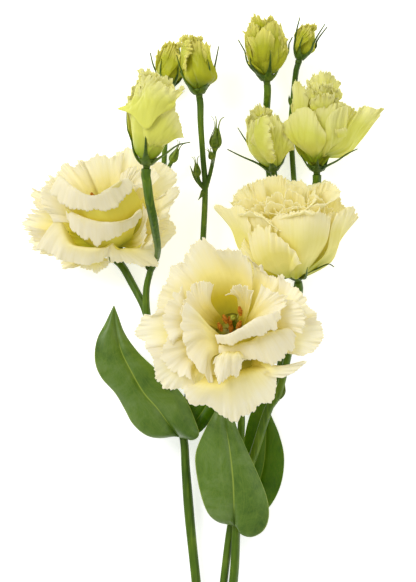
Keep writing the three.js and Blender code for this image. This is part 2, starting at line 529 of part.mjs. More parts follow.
/** A turned body on a flower's axis. The profile starts and ends on the axis. */
function turnedSolid(frame, base, profile, sides = 10) {
  const bottom = base.clone().addScaledVector(frame.axis, profile[0][1]);
  const top = base.clone().addScaledVector(frame.axis, profile[profile.length - 1][1]);
  const rings = profile.slice(1, -1).map(([radius, height]) => Array.from({ length: sides }, (_, j) => {
    const angle = (2 * Math.PI * j) / sides;
    return base.clone().addScaledVector(frame.axis, height).addScaledVector(outward(frame, angle), radius);
  }));
  const points = [bottom, top, ...rings.flat()];
  const triangles = [];
  const at = (k, j) => 2 + k * sides + (j % sides);
  for (let j = 0; j < sides; j++) {
    triangles.push([0, at(0, j + 1), at(0, j)], [1, at(rings.length - 1, j), at(rings.length - 1, j + 1)]);
    for (let k = 0; k < rings.length - 1; k++) {
      const [a, b, c, d] = [at(k, j), at(k, j + 1), at(k + 1, j + 1), at(k + 1, j)];
      triangles.push([a, b, c], [a, c, d]);
    }
  }
  return solid(points, triangles);
}

/** Joins solids and keeps the largest skin: loose scraps go and a hollow that was sealed is filled. */
function fuse(solids) {
  const { vertProperties, triVerts } = wasm.Manifold.union(solids).getMesh();
  const owner = Array.from({ length: vertProperties.length / 3 }, (_, i) => i);
  const rootOf = (i) => {
    while (owner[i] !== i) i = owner[i];
    return i;
  };
  for (let i = 0; i < triVerts.length; i += 3) {
    owner[rootOf(triVerts[i + 1])] = rootOf(triVerts[i]);
    owner[rootOf(triVerts[i + 2])] = rootOf(triVerts[i]);
  }
  const skins = new Map();
  for (let i = 0; i < triVerts.length; i += 3) {
    const root = rootOf(triVerts[i]);
    if (!skins.has(root)) skins.set(root, []);
    skins.get(root).push([triVerts[i], triVerts[i + 1], triVerts[i + 2]]);
  }
  const points = Array.from(owner, (_, i) => vector(vertProperties.slice(3 * i, 3 * i + 3)));
  const bodies = [...skins.values()].map((triangles) => solid(points, triangles));
  return bodies.reduce((a, b) => (b.volume() > a.volume() ? b : a));
}

// ---------------------------------------------------------------- petals

// start is where the blade leaves the core, swirl lays one edge inside and one outside the next.
const PETAL_DEFAULTS = {
  cup: 1, outline: [0.1, 0.4, 0.84, 1], rim: [0.72, 0.93, 1, 0.93, 0.72], waves: [1, 2.1],
  twist: 0, start: 0.22, swirl: 1.6,
};
const BUD_PETAL_DEFAULTS = {
  ...PETAL_DEFAULTS, outline: [0.25, 0.72, 1, 0.9, 0.6], waves: [0.3, 1.6], start: 0.05, swirl: 1,
};
const RIM_TOOTH = 0.7;   // how far the cut edge steps in and out

/** The points of a petal, wrapped round the axis of its flower, waved and cut at the edge. */
function petalRows(frame, base, petal, [across, along]) {
  const { read, length } = trackReader(petal.track);
  const phase = (place) => 2 * Math.PI * draw(petal.seed, place);
  return Array.from({ length: along }, (_, i) => {
    const t = lerp(petal.start, 1, (i / (along - 1)) ** 0.85);
    return Array.from({ length: across }, (_, j) => {
      const s = -1 + (2 * j) / (across - 1);
      const tooth = ((j % 2) - 0.5) * 2 * (RIM_TOOTH / length) * t;
      const reach = keyed(petal.rim, (s + 1) / 2) + tooth;
      const [track, height, slope] = read(t * (1 + (reach - 1) * t));
      const radius = track + petal.swirl * s;
      const rho = Math.max(radius * petal.cup, 1.5);
      const turn = THREE.MathUtils.clamp((s * petal.width * keyed(petal.outline, t)) / rho, -3, 3);
      const [swell, count] = petal.waves;
      const grow = Math.max((t - 0.25) / 0.75, 0) ** 1.6 * (0.45 + 0.55 * s * s);
      const wave = swell * grow * (0.7 * Math.sin(count * Math.PI * s + phase(4))
        + 0.5 * Math.sin(1.7 * count * Math.PI * s + phase(5)));
      const angle = THREE.MathUtils.degToRad(petal.phi + petal.twist * t);
      const middle = outward(frame, angle);
      const edge = outward(frame, angle + turn);
      const normal = edge.clone().multiplyScalar(Math.cos(slope)).addScaledVector(frame.axis, -Math.sin(slope));
      return base.clone().addScaledVector(frame.axis, height).addScaledVector(middle, radius - rho)
        .addScaledVector(edge, rho).addScaledVector(normal, wave);
    });
  });
}

/** All petals of one flower round their small solid core. */
function corolla(flower) {
  const frame = flowerFrame(flower);
  const base = vector(flower.base);
  const sheets = flower.petals.map((petal) => {
    const across = PETAL_COLUMNS + (petal.width > BROAD_PETAL ? 1 : 0);
    const rows = petalRows(frame, base, { ...PETAL_DEFAULTS, ...petal }, [across, PETAL_ROWS]);
    return sheetSolid(rows, PETAL_THICKNESS);
  });
  return fuse([turnedSolid(frame, base, flower.core, 8), ...sheets]);
}

/** How far the wound petals of a closed bud reach from its axis at one of its rings. */
function budRadius({ girth, wind, seed }, ring, azimuth) {
  const t = ring / (BUD_OUTLINE.length - 1);
  const turn = (azimuth / (2 * Math.PI) + wind * t + draw(seed, 1)) * WOUND_PETALS;
  return BUD_OUTLINE[ring][1] * girth * (1 + BUD_STEP * (turn - Math.floor(turn) - 0.5) * Math.min(3 * t, 1));
}

/** A closed bud: petals wound round each other, so that each free edge stands out as a slanting step. */
function woundBody(frame, base, bud) {
  const last = BUD_OUTLINE.length - 1;
  return ringSolid(BUD_OUTLINE.map(([share], ring) => Array.from({ length: BUD_SIDES }, (_, j) => {
    const azimuth = (2 * Math.PI * j) / BUD_SIDES;
    const crown = ring === last ? ((j % 2) - 0.5) * BUD_FRINGE : 0;
    return base.clone().addScaledVector(frame.axis, share * bud.height + crown)
      .addScaledVector(outward(frame, azimuth), budRadius(bud, ring, azimuth));
  })));
}

/** The wound petals of a bud with the free petals that stand off it. */
function budPetals(bud) {
  const frame = flowerFrame(bud);
  const base = vector(bud.base);
  const free = bud.petals.map((petal) => {
    const rows = petalRows(frame, base, { ...BUD_PETAL_DEFAULTS, ...petal }, BUD_PETAL_GRID);
    return sheetSolid(rows, PETAL_THICKNESS);
  });
  return fuse([woundBody(frame, base, bud), ...free]);
}

// ---------------------------------------------------------------- calyx, stem and leaves

/** The clear distance from a closed bud's axis at a height, or nothing for an open bloom. */
function clearRadius(flower, height, phi) {
  if (!flower.girth) return 0;
  const share = THREE.MathUtils.clamp(height / flower.height, 0, 1);
  const above = BUD_OUTLINE.findIndex(([level]) => level >= share);
  const below = Math.max(above - 1, 0);
  const span = BUD_OUTLINE[above][0] - BUD_OUTLINE[below][0] || 1;
  const reach = [-30, -15, 0, 15, 30].map((aside) => lerp(
    budRadius(flower, above, THREE.MathUtils.degToRad(phi + aside)),
    budRadius(flower, below, THREE.MathUtils.degToRad(phi + aside)),
    (BUD_OUTLINE[above][0] - share) / span,
  ));
  return Math.max(...reach) + SEPAL_CLEAR;
}

/** One thin sepal that runs from inside the cup up along the petals and lies on a closed bud. */
function sepalSolid(flower, { phi, track }, share = 1, extra = 0) {
  const frame = flowerFrame(flower);
  const base = vector(flower.base);
  const { read } = trackReader(track);
  const out = outward(frame, THREE.MathUtils.degToRad(phi));
  const across = new THREE.Vector3().crossVectors(frame.axis, out);
  const rings = [];
  for (let k = 0; k <= SEPAL_STEPS; k++) {
    const t = k / SEPAL_STEPS;
    const [radius, height, slope] = read(t);
    const clear = k > 0 ? clearRadius(flower, height, phi) : 0;
    const centre = base.clone().addScaledVector(frame.axis, height)
      .addScaledVector(out, Math.max(radius, clear));
    const normal = out.clone().multiplyScalar(Math.cos(slope)).addScaledVector(frame.axis, -Math.sin(slope));
    const half = SEPAL_SECTION[0] * share * (1 - 0.6 * t) + extra;
    const thin = SEPAL_SECTION[1] * (1 - 0.3 * t) + extra;
    rings.push([
      centre.clone().addScaledVector(across, half).addScaledVector(normal, -thin),
      centre.clone().addScaledVector(across, -half).addScaledVector(normal, -thin),
      centre.clone().addScaledVector(normal, thin),
    ]);
  }
  return ringSolid(rings);
}

/** The green cup under a flower with its sepals. It starts where the stalk ends. */
function calyx(flower, extra = 0) {
  const rim = flower.cup + extra;
  const profile = [[0, -CALYX_DEPTH], [1.6, -CALYX_DEPTH], [rim, -0.6 + extra], [0, -0.6 + extra]];
  const cup = turnedSolid(flowerFrame(flower), vector(flower.base), profile, 6);
  return fuse([cup, ...flower.sepals.map((sepal) => sepalSolid(flower, sepal, 1, extra))]);
}

/** The stem with every branch as one body. A branch that carries a flower ends under its calyx. */
function stem(extra = 0) {
  const bracts = BRACTS.map((route) => branchSolid(route.map(vector), BRACT_RADII, 4, BRACT_STEP));
  const branches = Object.entries(BRANCHES).map(([name, { route, radii }]) => {
    const flower = BLOOMS[name] ?? BUDS[name] ?? SIDE_BUDS[name];
    const ends = name in SIDE_BUDS ? [SEAT_GAP] : [STALK_RUN, CALYX_DEPTH + SEAT_GAP];
    const points = route.map(vector);
    if (flower) {
      const { axis } = flowerFrame(flower);
      points.push(...ends.map((below) => vector(flower.base).addScaledVector(axis, -below)));
    }
    return branchSolid(points, radii.map((radius) => radius + extra));
  });
  return fuse([...branches, ...bracts]);
}

/** A small green side bud: a pear-shaped body drawn out to pointed tips. */
function sideBud({ height, girth, ...flower }) {
  const frame = flowerFrame(flower);
  const base = vector(flower.base);
  const profile = SIDE_BUD_OUTLINE.map(([r, h]) => [r * girth, h * height]);
  const tips = [-60, 110].map((phi) => sepalSolid(flower, {
    phi, track: [[0.4, 0.6 * height], [0.3 * girth, height], [0.8 * girth, 1.5 * height]],
  }, 0.6));
  return fuse([turnedSolid(frame, base, profile, 6), ...tips]);
}

/** A leaf blade: midrib points, breadth left and right of it along its length. */
function leaf({ midrib, left, right, sweep, fold, droop, wave }) {
  const [across, along] = LEAF_GRID;
  const curve = new THREE.CatmullRomCurve3(midrib.map(vector), false, 'catmullrom');
  const up = new THREE.Vector3(0, 0, 1);
  const rows = Array.from({ length: along }, (_, i) => {
    const t = i / (along - 1);
    const centre = curve.getPoint(t);
    const ahead = curve.getTangent(t);
    const side = new THREE.Vector3().crossVectors(ahead, up).normalize();
    const normal = new THREE.Vector3().crossVectors(side, ahead);
    const swept = THREE.MathUtils.degToRad(keyed([sweep[0], sweep[0] * 0.45, 0, sweep[1] * 0.5, sweep[1]], t));
    return Array.from({ length: across }, (_, j) => {
      const s = -1 + (2 * j) / (across - 1);
      const onRight = s > 0 ? 1 : 0;
      const breadth = Math.max(keyed(onRight ? right : left, t), 0.5);
      const lift = THREE.MathUtils.degToRad(fold[onRight]);
      const reach = breadth * Math.abs(s);
      const wavy = wave[0] * s * s * Math.sin(2 * Math.PI * wave[1] * t + 1.7 * onRight);
      return centre.clone()
        .addScaledVector(side, Math.sign(s) * Math.cos(swept) * reach * Math.cos(lift))
        .addScaledVector(ahead, Math.sin(swept) * reach)
        .addScaledVector(normal, reach * Math.sin(lift) - droop[onRight] * s * s + wavy);
    });
  });
  return sheetSolid(rows, LEAF_THICKNESS);
}

/** The stamens: thin filaments with an anther each, joined by the small disc that they grow from. */
function stamens(flower, { phis, length, lean }) {
  const frame = flowerFrame(flower);
  const foot = vector(flower.base).addScaledVector(frame.axis, flower.core.at(-1)[1] + SEAT_GAP);
  const rods = phis.flatMap((phi, k) => {
    const out = outward(frame, THREE.MathUtils.degToRad(phi));
    const tilt = THREE.MathUtils.degToRad(lean * (0.85 + 0.3 * draw(k, 2)));
    const reach = length * (0.85 + 0.3 * draw(k, 1));
    const at = (along) => foot.clone().addScaledVector(out, DISC[1][0] * 0.8 + along * Math.sin(tilt))
      .addScaledVector(frame.axis, 0.5 + along * Math.cos(tilt));
    return [
      branchSolid([at(0), at(reach / 2), at(reach)], FILAMENT_RADII, 3, length),
      branchSolid([-2.2, 0, 2.2].map((along) => at(reach + along)), ANTHER_RADII, 4, 2.2),
    ];
  });
  return fuse([turnedSolid(frame, foot, DISC, 8), ...rods]);
}

/** The ovary with its style and stigma, on the disc of the stamens. */
function pistil(flower) {
  const frame = flowerFrame(flower);
  const foot = flower.core.at(-1)[1] + DISC.at(-1)[1] + 2 * SEAT_GAP;
  return turnedSolid(frame, vector(flower.base).addScaledVector(frame.axis, foot), OVARY, 8);
}

// ---------------------------------------------------------------- the spray

const group = new THREE.Group();

/** Adds a solid to the spray as a named mesh, moved so that the spray's middle is the origin. */
function add(name, body, colour, roughness = 0.6) {
  const { vertProperties, triVerts } = fuse([body.trimByPlane([0, 0, 1], 0)]).getMesh();
  const geometry = new THREE.BufferGeometry();
  geometry.setAttribute('position', new THREE.BufferAttribute(new Float32Array(vertProperties), 3));
  geometry.setIndex(new THREE.BufferAttribute(new Uint32Array(triVerts), 1));
  geometry.translate(-SPRAY_CENTRE[0], -SPRAY_CENTRE[1], 0);
  geometry.computeVertexNormals();
  const material = new THREE.MeshStandardMaterial({ color: colour, roughness, metalness: 0 });
  const mesh = new THREE.Mesh(geometry, material);
  mesh.name = name;
  group.add(mesh);
}

add('stem', stem(), COLOURS.stem, 0.5);
const stemRoom = stem(SEAT_GAP);
for (const [name, blade] of Object.entries(LEAVES)) {
  add(`leaf_${name}`, leaf(blade).subtract(stemRoom), COLOURS.leaf, 0.45);
}
for (const [name, flower] of Object.entries(BLOOMS)) {
  const room = calyx(flower, SEAT_GAP).add(stemRoom);
  add(`${name}_petals`, corolla(flower).subtract(room), flower.colour);
  add(`${name}_calyx`, calyx(flower), COLOURS.calyx);
}
for (const name of Object.keys(STAMENS)) {
  add(`${name}_stamens`, stamens(BLOOMS[name], STAMENS[name]), COLOURS.anther);
  add(`${name}_pistil`, pistil(BLOOMS[name]), COLOURS.pistil);
}
for (const [name, flower] of Object.entries(BUDS)) {
  add(`${name}_petals`, budPetals(flower).subtract(calyx(flower, SEAT_GAP)), COLOURS.bud);
  add(`${name}_calyx`, calyx(flower), COLOURS.calyx);
}
for (const [name, bud] of Object.entries(SIDE_BUDS)) add(name, sideBud(bud), COLOURS.calyx);

export default group;
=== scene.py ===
import math

import bpy
import numpy as np
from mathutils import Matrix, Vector


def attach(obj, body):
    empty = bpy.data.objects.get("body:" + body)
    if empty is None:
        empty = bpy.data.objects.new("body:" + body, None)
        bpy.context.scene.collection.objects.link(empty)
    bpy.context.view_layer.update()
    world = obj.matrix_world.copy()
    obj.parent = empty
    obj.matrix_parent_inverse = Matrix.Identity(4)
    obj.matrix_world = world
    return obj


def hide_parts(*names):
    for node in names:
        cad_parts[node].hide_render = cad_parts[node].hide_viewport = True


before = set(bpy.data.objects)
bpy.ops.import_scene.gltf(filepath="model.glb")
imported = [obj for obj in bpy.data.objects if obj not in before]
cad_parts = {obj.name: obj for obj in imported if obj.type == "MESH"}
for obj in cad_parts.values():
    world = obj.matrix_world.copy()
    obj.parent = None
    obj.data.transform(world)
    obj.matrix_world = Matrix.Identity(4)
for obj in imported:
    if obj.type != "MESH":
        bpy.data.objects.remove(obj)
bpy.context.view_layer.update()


# ------------------------------------------------------------------ stem and branches
# One cut stem parts into three near its foot, and each branches again into thinner stalks
# that carry a flower or a bud each. They are juicy, satin green stalks, slightly ribbed along
# their length, a little thicker at each fork, with small pointed bracts there.

SPRAY_CENTRE = (-2.52, -45.81)      # the middle of the spray on its own drawing, mm
STALK_RUN, STALK_END = 6.5, 3.5     # below a flower's base: where its stalk turns onto the axis, and ends
SIDE_STALK_END = 0.3                # the same end under a very small bud
STALK_FACET = 2.6                   # length of one facet along a stalk, mm
STALK_SIDES, STALK_RIBS, RIB_HEIGHT = 20, 5.0, 0.06     # round section; the height is a share of the radius
STEM_DARK, STEM_GREEN, STEM_PALE = (0.03, 0.075, 0.002), (0.09, 0.17, 0.006), (0.23, 0.32, 0.02)

# Where each flower stands, how far its axis leans right of straight up the spray and rises from
# the surface, in degrees, and the radius of its green cup.
FLOWERS = {
    "centre": ((10.4, -19.5, 36), -4, 58, 4.6),
    "left": ((-38.6, 17.9, 6), -11, 32, 4.4),
    "right": ((35.8, 6.8, 20), -9, 20, 4.8),
    "bud_front": ((-24.1, 51.8, 47), 4, 8, 4.2),
    "bud_middle": ((-3.8, 81.2, 18), -6, 6, 3.5),
    "bud_back": ((-16.2, 83.2, 8), 4, 6, 2.8),
    "bud_top": ((23.7, 86.9, 14), -3, 8, 3.8),
    "bud_tip": ((37.4, 95.4, 14), 16, 6, 2.7),
    "bud_low": ((26.1, 50.3, 10.4), -12, 8, 3.6),
    "bud_open": ((44.1, 50.4, 13.2), 1, 12, 4.2),
}
SIDE_BUDS = {                       # the very small buds: base, lean, rise, height and girth
    "side_bud_1": ((-14.8, 52.4, 8), 26, 8, 6.2, 1.6),
    "side_bud_2": ((-4.2, 46.4, 16), -6, 8, 5.4, 1.35),
    "side_bud_3": ((2.8, 57.7, 16), 5, 6, 8.6, 2.3),
    "side_bud_4": ((1.8, 53.3, 21.5), -22, 40, 3.8, 1.2),
}
STALKS = {                          # the route of each stalk, and its radius evenly along it
    "side_bud_1": ([(-18.3, 45.2, 3), (-17.1, 48.4, 5)], (0.9, 0.8, 0.8)),
    "side_bud_2": ([(-1.2, 41.2, 14), (-3.2, 43.2, 15)], (0.9, 0.8, 0.8)),
    "side_bud_3": ([(-1.2, 40.8, 14), (0.8, 47.3, 15.5), (2, 52.9, 16)], (1, 0.85, 0.8, 0.8)),
    "side_bud_4": ([(1.6, 50.9, 15.8), (2, 52, 18)], (0.7, 0.6, 0.6)),
    "main": (
        [(0.8, -203.4, 2.3), (-0.4, -174.8, 2.9), (-1.6, -150.2, 4), (-4.9, -118.4, 5), (-7.5, -93.1, 6),
         (-9.1, -72.7, 7), (-10.1, -59.3, 8), (-14.6, -45.4, 9), (-20.7, -26, 9), (-24.5, -11, 9.5),
         (-25.1, 0.4, 10), (-23.1, 9.3, 11)], (2.7, 2.3, 2, 1.9, 1.9, 1.9, 2, 1.7, 1.6, 1.6, 1.45, 1.3)),
    "left": (
        [(-24.3, -12.6, 9.5), (-26.4, -5.7, 8), (-31.3, 3.7, 6), (-35, 10.2, 4.5)],
        (1.4, 1.5, 1.55, 1.6, 1.7)),
    "bud_front": (
        [(-23.5, 7.7, 11), (-20.8, 13.3, 16), (-20.1, 17.6, 26), (-20.9, 23.5, 34), (-21.9, 29.8, 40),
         (-23.2, 36.1, 44), (-24.2, 43.9, 45)], (1.2, 1.2, 1.45, 1.7, 1.8, 1.9)),
    "bud_back": (
        [(-23.1, 9.3, 11), (-20.7, 20.7, 6), (-19.1, 33, 3.5), (-18.3, 46, 3), (-17.7, 57.4, 3.5),
         (-17.1, 70.4, 5)], (1.3, 1.2, 1.2, 1.1, 1.1, 1.1, 1.2)),
    "bud_middle": (
        [(-10.1, -60.5, 8), (-8.5, -44.3, 7), (-6.1, -24, 7), (-3.7, -3.7, 8), (-2, 21.9, 11),
         (-1.2, 41.6, 14), (-2, 52.9, 16), (-3, 67, 17.5)],
        (1.6, 1.4, 1.3, 1.2, 1.2, 1.2, 1.15, 1.15, 1.4)),
    "centre": (
        [(0.4, -186.1, 3.4), (5.7, -146, 5), (10.2, -118.3, 6), (11.4, -95, 8), (12.2, -76.7, 9),
         (13.4, -54.3, 12), (12.7, -37.9, 17)], (2, 1.9, 1.8, 1.8, 1.6, 1.5, 1.5, 1.7)),
    "right": (
        [(0, -189, 3.2), (2.9, -150.3, 3.5), (6.3, -118.5, 4), (9.4, -95.2, 5), (13.4, -80.1, 6.5),
         (18.3, -67, 8), (24.3, -48.2, 10), (28, -42.5, 11), (30.8, -32.8, 12), (33.2, -21.8, 13),
         (35.4, -9.7, 15)], (2, 1.7, 1.6, 1.6, 1.6, 1.7, 1.8, 1.8, 1.5, 1.5, 1.6)),
    "bud_open": (
        [(27.6, -44.2, 11), (29.3, -30.1, 7), (31.8, -15.9, 3.5), (35.9, 0.4, 1.9), (38.7, 16.7, 1.1),
         (40.8, 28.1, 1.8), (42.5, 37, 4)], (1.4, 1.4, 1.4, 1.4, 1.4, 1.4, 1.5, 1.8)),
    "bud_tip": (
        [(38.3, 14.3, 1.4), (36.3, 31, 2.4), (34.6, 49.3, 4), (33.7, 67.5, 6), (34.7, 80.7, 9)],
        (1.2, 1.1, 1.1, 1.1, 1.1, 1.2)),
    "bud_top": (
        [(36.7, 4.5, 1.8), (31.8, 20.8, 1.8), (26.9, 35.1, 1.8), (24.5, 51.4, 1), (23.6, 67.6, 4)],
        (1.2, 1.2, 1.2, 1.3, 1.4, 1.5)),
    "bud_low": ([(32.2, 19.6, 1.8), (29.7, 31, 2.6)], (1.1, 1.1, 1.1, 1.3)),
}
BRACTS = [                          # small scales: root, middle and tip
    [(-23.1, 8.5, 11), (-24.9, 10.1, 12.5), (-25.5, 13.4, 13)],
    [(-22.7, 8.5, 11), (-21.5, 11, 9), (-21.1, 13.8, 8)],
    [(28.8, -43.4, 11), (30.8, -40.9, 10.5), (31.2, -38.1, 10)],
    [(-2, 42.1, 14), (-5.3, 46.1, 13.5), (-7.3, 50.6, 13)],
    [(-1.6, 40.8, 14), (-2.8, 38.4, 16), (-4, 36.7, 17)],
    [(34.3, 75.1, 7.5), (33.1, 77.5, 8), (32.9, 79.5, 8.5)],
    [(34.5, 79.1, 8.6), (35.7, 81.1, 9), (36.1, 83.1, 9.5)],
]
BRACT_STEPS, BRACT_BREADTH = 14, (0.9, 1.0, 0.75, 0.4, 0.12)
BRACT_THICK = (0.42, 0.12)          # half of it, at the root and at the tip, mm


def frame_metres(points):
    """Drawing millimetres to metres in the shared frame."""
    return (np.asarray(points, float) - (*SPRAY_CENTRE, 0)) / 1000


def unit(vectors):
    """The same directions with length one."""
    return vectors / np.maximum(np.linalg.norm(vectors, axis=-1, keepdims=True), 1e-9)


def smooth_between(a, b, c, d, f):
    """The smooth curve through four places, at the share f between the second and the third."""
    return b + 0.5 * f * (c - a + f * (2 * a - 5 * b + 4 * c - d + f * (3 * (b - c) + d - a)))


def keyed(values, t):
    """An evenly spaced list read smoothly at t from 0 to 1."""
    v = np.asarray(values, float)
    x = np.clip(t, 0, 1) * (len(v) - 1)
    i = np.clip(np.floor(x).astype(int), 0, len(v) - 2)
    f = (x - i)[..., None] if v.ndim > 1 else x - i
    return smooth_between(v[np.maximum(i - 1, 0)], v[i], v[i + 1], v[np.minimum(i + 2, len(v) - 1)], f)


def curve_through(points, count):
    """A smooth curve through the points, in even steps."""
    p = np.asarray(points, float)
    p = np.vstack([2 * p[0] - p[1], p, 2 * p[-1] - p[-2]])
    fine = keyed(p, np.linspace(1, len(p) - 2, 30 * len(p)) / (len(p) - 1))
    run = np.concatenate([[0], np.cumsum(np.linalg.norm(np.diff(fine, axis=0), axis=1))])
    even = np.linspace(0, run[-1], count)
    return np.stack([np.interp(even, run, fine[:, k]) for k in range(p.shape[1])], 1)


def flower_frame(name):
    """A flower's side that faces up, its right side and its axis."""
    lean, rise = (math.radians(x) for x in {**FLOWERS, **SIDE_BUDS}[name][1:3])
    axis = np.array([math.cos(rise) * math.sin(lean), math.cos(rise) * math.cos(lean), math.sin(rise)])
    front = unit(np.array([0, 0, 1]) - axis * axis[2])
    return front, np.cross(axis, front), axis


def flower_base(name):
    return np.array({**FLOWERS, **SIDE_BUDS}[name][0], float)


def adder(tree):
    """A short call that adds a node to a tree. A socket gets a link or a value, a setting its value."""
    def node(kind, sockets=None, **others):
        made = tree.nodes.new(kind)
        for key, value in [*others.items(), *(sockets or {}).items()]:
            if isinstance(value, bpy.types.NodeSocket):
                tree.links.new(value, made.inputs[key])
            elif isinstance(key, int) or key[0].isupper():
                made.inputs[key].default_value = value
            else:
                setattr(made, key, value)
        return made

    return node


def shader(name, roughness, specular=0.5, subsurface=0.0, radius=(0.002, 0.0015, 0.0006)):
    """A new material's surface shader, the call that adds a node to it, and one that ends the
    material with its colour and a fine relief."""
    material = bpy.data.materials.new(name)
    material.use_nodes = True
    tree = material.node_tree
    surface, node = tree.nodes["Principled BSDF"], adder(tree)
    for socket, value in (("Roughness", roughness), ("Specular IOR Level", specular),
                          ("Subsurface Weight", subsurface), ("Subsurface Radius", radius),
                          ("Subsurface Scale", 1)):
        surface.inputs[socket].default_value = value

    def coated(colour, height=None, strength=0.3, depth=0.0002):
        tree.links.new(colour, surface.inputs["Base Color"])
        if height:
            bump = node("ShaderNodeBump", Height=height, Strength=strength, Distance=depth)
            tree.links.new(bump.outputs[0], surface.inputs["Normal"])
        return material

    return surface, node, coated


def object_place(node):
    return node("ShaderNodeTexCoord").outputs["Object"]


def stretched(node, place, scale):
    return node("ShaderNodeMapping", Vector=place, Scale=scale).outputs[0]


def noise(node, place, scale, detail=3, **others):
    return node("ShaderNodeTexNoise", Vector=place, Scale=scale, Detail=detail, **others).outputs[0]


def ramp(node, source, *stops):
    """A colour ramp over (place, colour) stops."""
    made = node("ShaderNodeValToRGB", {0: source})
    points = made.color_ramp.elements
    while len(points) < len(stops):
        points.new(0.5)
    for point, (place, colour) in zip(points, stops):
        point.position, point.color = place, (*colour, 1)
    return made.outputs[0]


def grey_ramp(node, source, *stops):
    return ramp(node, source, *((place, (level,) * 3) for place, level in stops))


def mixed(node, factor, first, second, kind="MIX"):
    """Two colours mixed by a factor."""
    made = node("ShaderNodeMix", {0: factor, 6: first, 7: second}, data_type="RGBA", blend_type=kind)
    return made.outputs[2]


def stem_skin():
    """Satin green skin with lengthwise streaks and paler blotches."""
    surface, node, coated = shader("stem_skin", 0.38, 0.25, 0.05)
    place = object_place(node)
    streak = noise(node, stretched(node, place, (900, 70, 900)), 1, 4)
    green = ramp(node, streak, (0.3, STEM_DARK), (0.55, STEM_GREEN), (0.75, STEM_PALE))
    soft = ramp(node, noise(node, place, 60), (0.35, STEM_DARK), (0.6, STEM_GREEN), (0.75, STEM_PALE))
    return coated(mixed(node, 0.5, green, soft), streak)


def new_tree(title, *names):
    """A geometry node tree with its named inputs: the tree, the call that adds a node, its inputs and
    a call that ends it with plain mesh in its skin."""
    tree = bpy.data.node_groups.new(title, "GeometryNodeTree")
    for side in ("INPUT", "OUTPUT"):
        tree.interface.new_socket("Geometry", in_out=side, socket_type="NodeSocketGeometry")
    for name in names:
        kind = {"Sides": "NodeSocketInt", "Skin": "NodeSocketMaterial"}.get(name, "NodeSocketFloat")
        tree.interface.new_socket(name, in_out="INPUT", socket_type=kind)
    node = adder(tree)
    given = node("NodeGroupInput").outputs

    def ended(made):
        real = node("GeometryNodeRealizeInstances", {0: made.outputs[0]})
        paint = node("GeometryNodeSetMaterial", Geometry=real.outputs[0], Material=given["Skin"])
        node("NodeGroupOutput", {0: paint.outputs[0]})
        return tree

    return node, given, ended


def swept(node, route, section):
    """A section swept along a route at the route's own radius, with its ends closed."""
    sweep = node("GeometryNodeCurveToMesh", {"Curve": route, "Profile Curve": section, "Fill Caps": True})
    if "Scale" in sweep.inputs:
        radius = node("GeometryNodeInputRadius").outputs[0]
        sweep.id_data.links.new(radius, sweep.inputs["Scale"])
    return sweep


def swept_stalk_tree():
    """Geometry nodes: a ribbed round section swept along every route."""
    node, given, ended = new_tree("swept_stalk", "Sides", "Ribs", "Rib height", "Skin")
    maths = lambda kind, a, b: node("ShaderNodeMath", {0: a, 1: b}, operation=kind).outputs[0]
    ring = node("GeometryNodeCurvePrimitiveCircle", Radius=1, Resolution=given["Sides"])
    turn = maths("MULTIPLY", node("GeometryNodeSplineParameter").outputs["Factor"], 2 * math.pi)
    rib = maths("COSINE", maths("MULTIPLY", turn, given["Ribs"]), 0)
    rib = maths("MULTIPLY", rib, given["Rib height"])
    place = node("GeometryNodeInputPosition").outputs[0]
    push = node("ShaderNodeVectorMath", {0: place, "Scale": rib}, operation="SCALE")
    ribbed = node("GeometryNodeSetPosition", Geometry=ring.outputs[0], Offset=push.outputs[0])
    return ended(swept(node, given["Geometry"], ribbed.outputs[0]))


def grown(name, source, tree, **values):
    """Runs a node tree on an object with its named inputs and keeps the result as a plain mesh."""
    bpy.context.scene.collection.objects.link(source)
    modifier = source.modifiers.new("grow", "NODES")
    modifier.node_group = tree
    for item in tree.interface.items_tree:
        key = item.name.replace(" ", "_")
        if item.item_type == "SOCKET" and item.in_out == "INPUT" and key in values:
            modifier[item.identifier] = values[key]
    evaluated = source.evaluated_get(bpy.context.evaluated_depsgraph_get())
    mesh = bpy.data.meshes.new_from_object(evaluated)
    mesh.name = name
    bpy.data.objects.remove(source)
    mesh.polygons.foreach_set("use_smooth", [len(face.vertices) < 8 for face in mesh.polygons])
    return bpy.data.objects.new(name, mesh)


def placed(piece, finish, *nodes):
    """Puts a piece on the spray in place of its CAD nodes."""
    bpy.context.scene.collection.objects.link(piece)
    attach(piece, "root")
    if nodes:
        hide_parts(*nodes)


stalk_curve = bpy.data.curves.new("stalk_routes", "CURVE")
stalk_curve.dimensions = "3D"
for name, (route, radii) in STALKS.items():
    points = list(route)
    if name in FLOWERS or name in SIDE_BUDS:
        for below in ((SIDE_STALK_END,) if name in SIDE_BUDS else (STALK_RUN, STALK_END)):
            points.append(flower_base(name) - flower_frame(name)[2] * below)
    length = np.linalg.norm(np.diff(np.array(points), axis=0), axis=1).sum()
    count = max(6, int(length / STALK_FACET))
    line, girth = curve_through(points, count), keyed(radii, np.linspace(0, 1, count))
    line[:, 2] = np.maximum(line[:, 2], girth * (1 + RIB_HEIGHT))
    spline = stalk_curve.splines.new("POLY")
    spline.points.add(count - 1)
    for point, p, r in zip(spline.points, frame_metres(line), girth):
        point.co, point.radius = (*p, 1), r / 1000
stalks = grown("stem_and_branches", bpy.data.objects.new("stalk_routes", stalk_curve), swept_stalk_tree(),
               Sides=STALK_SIDES, Ribs=STALK_RIBS, Rib_height=RIB_HEIGHT, Skin=stem_skin())
placed(stalks, "green_stem", "stem")


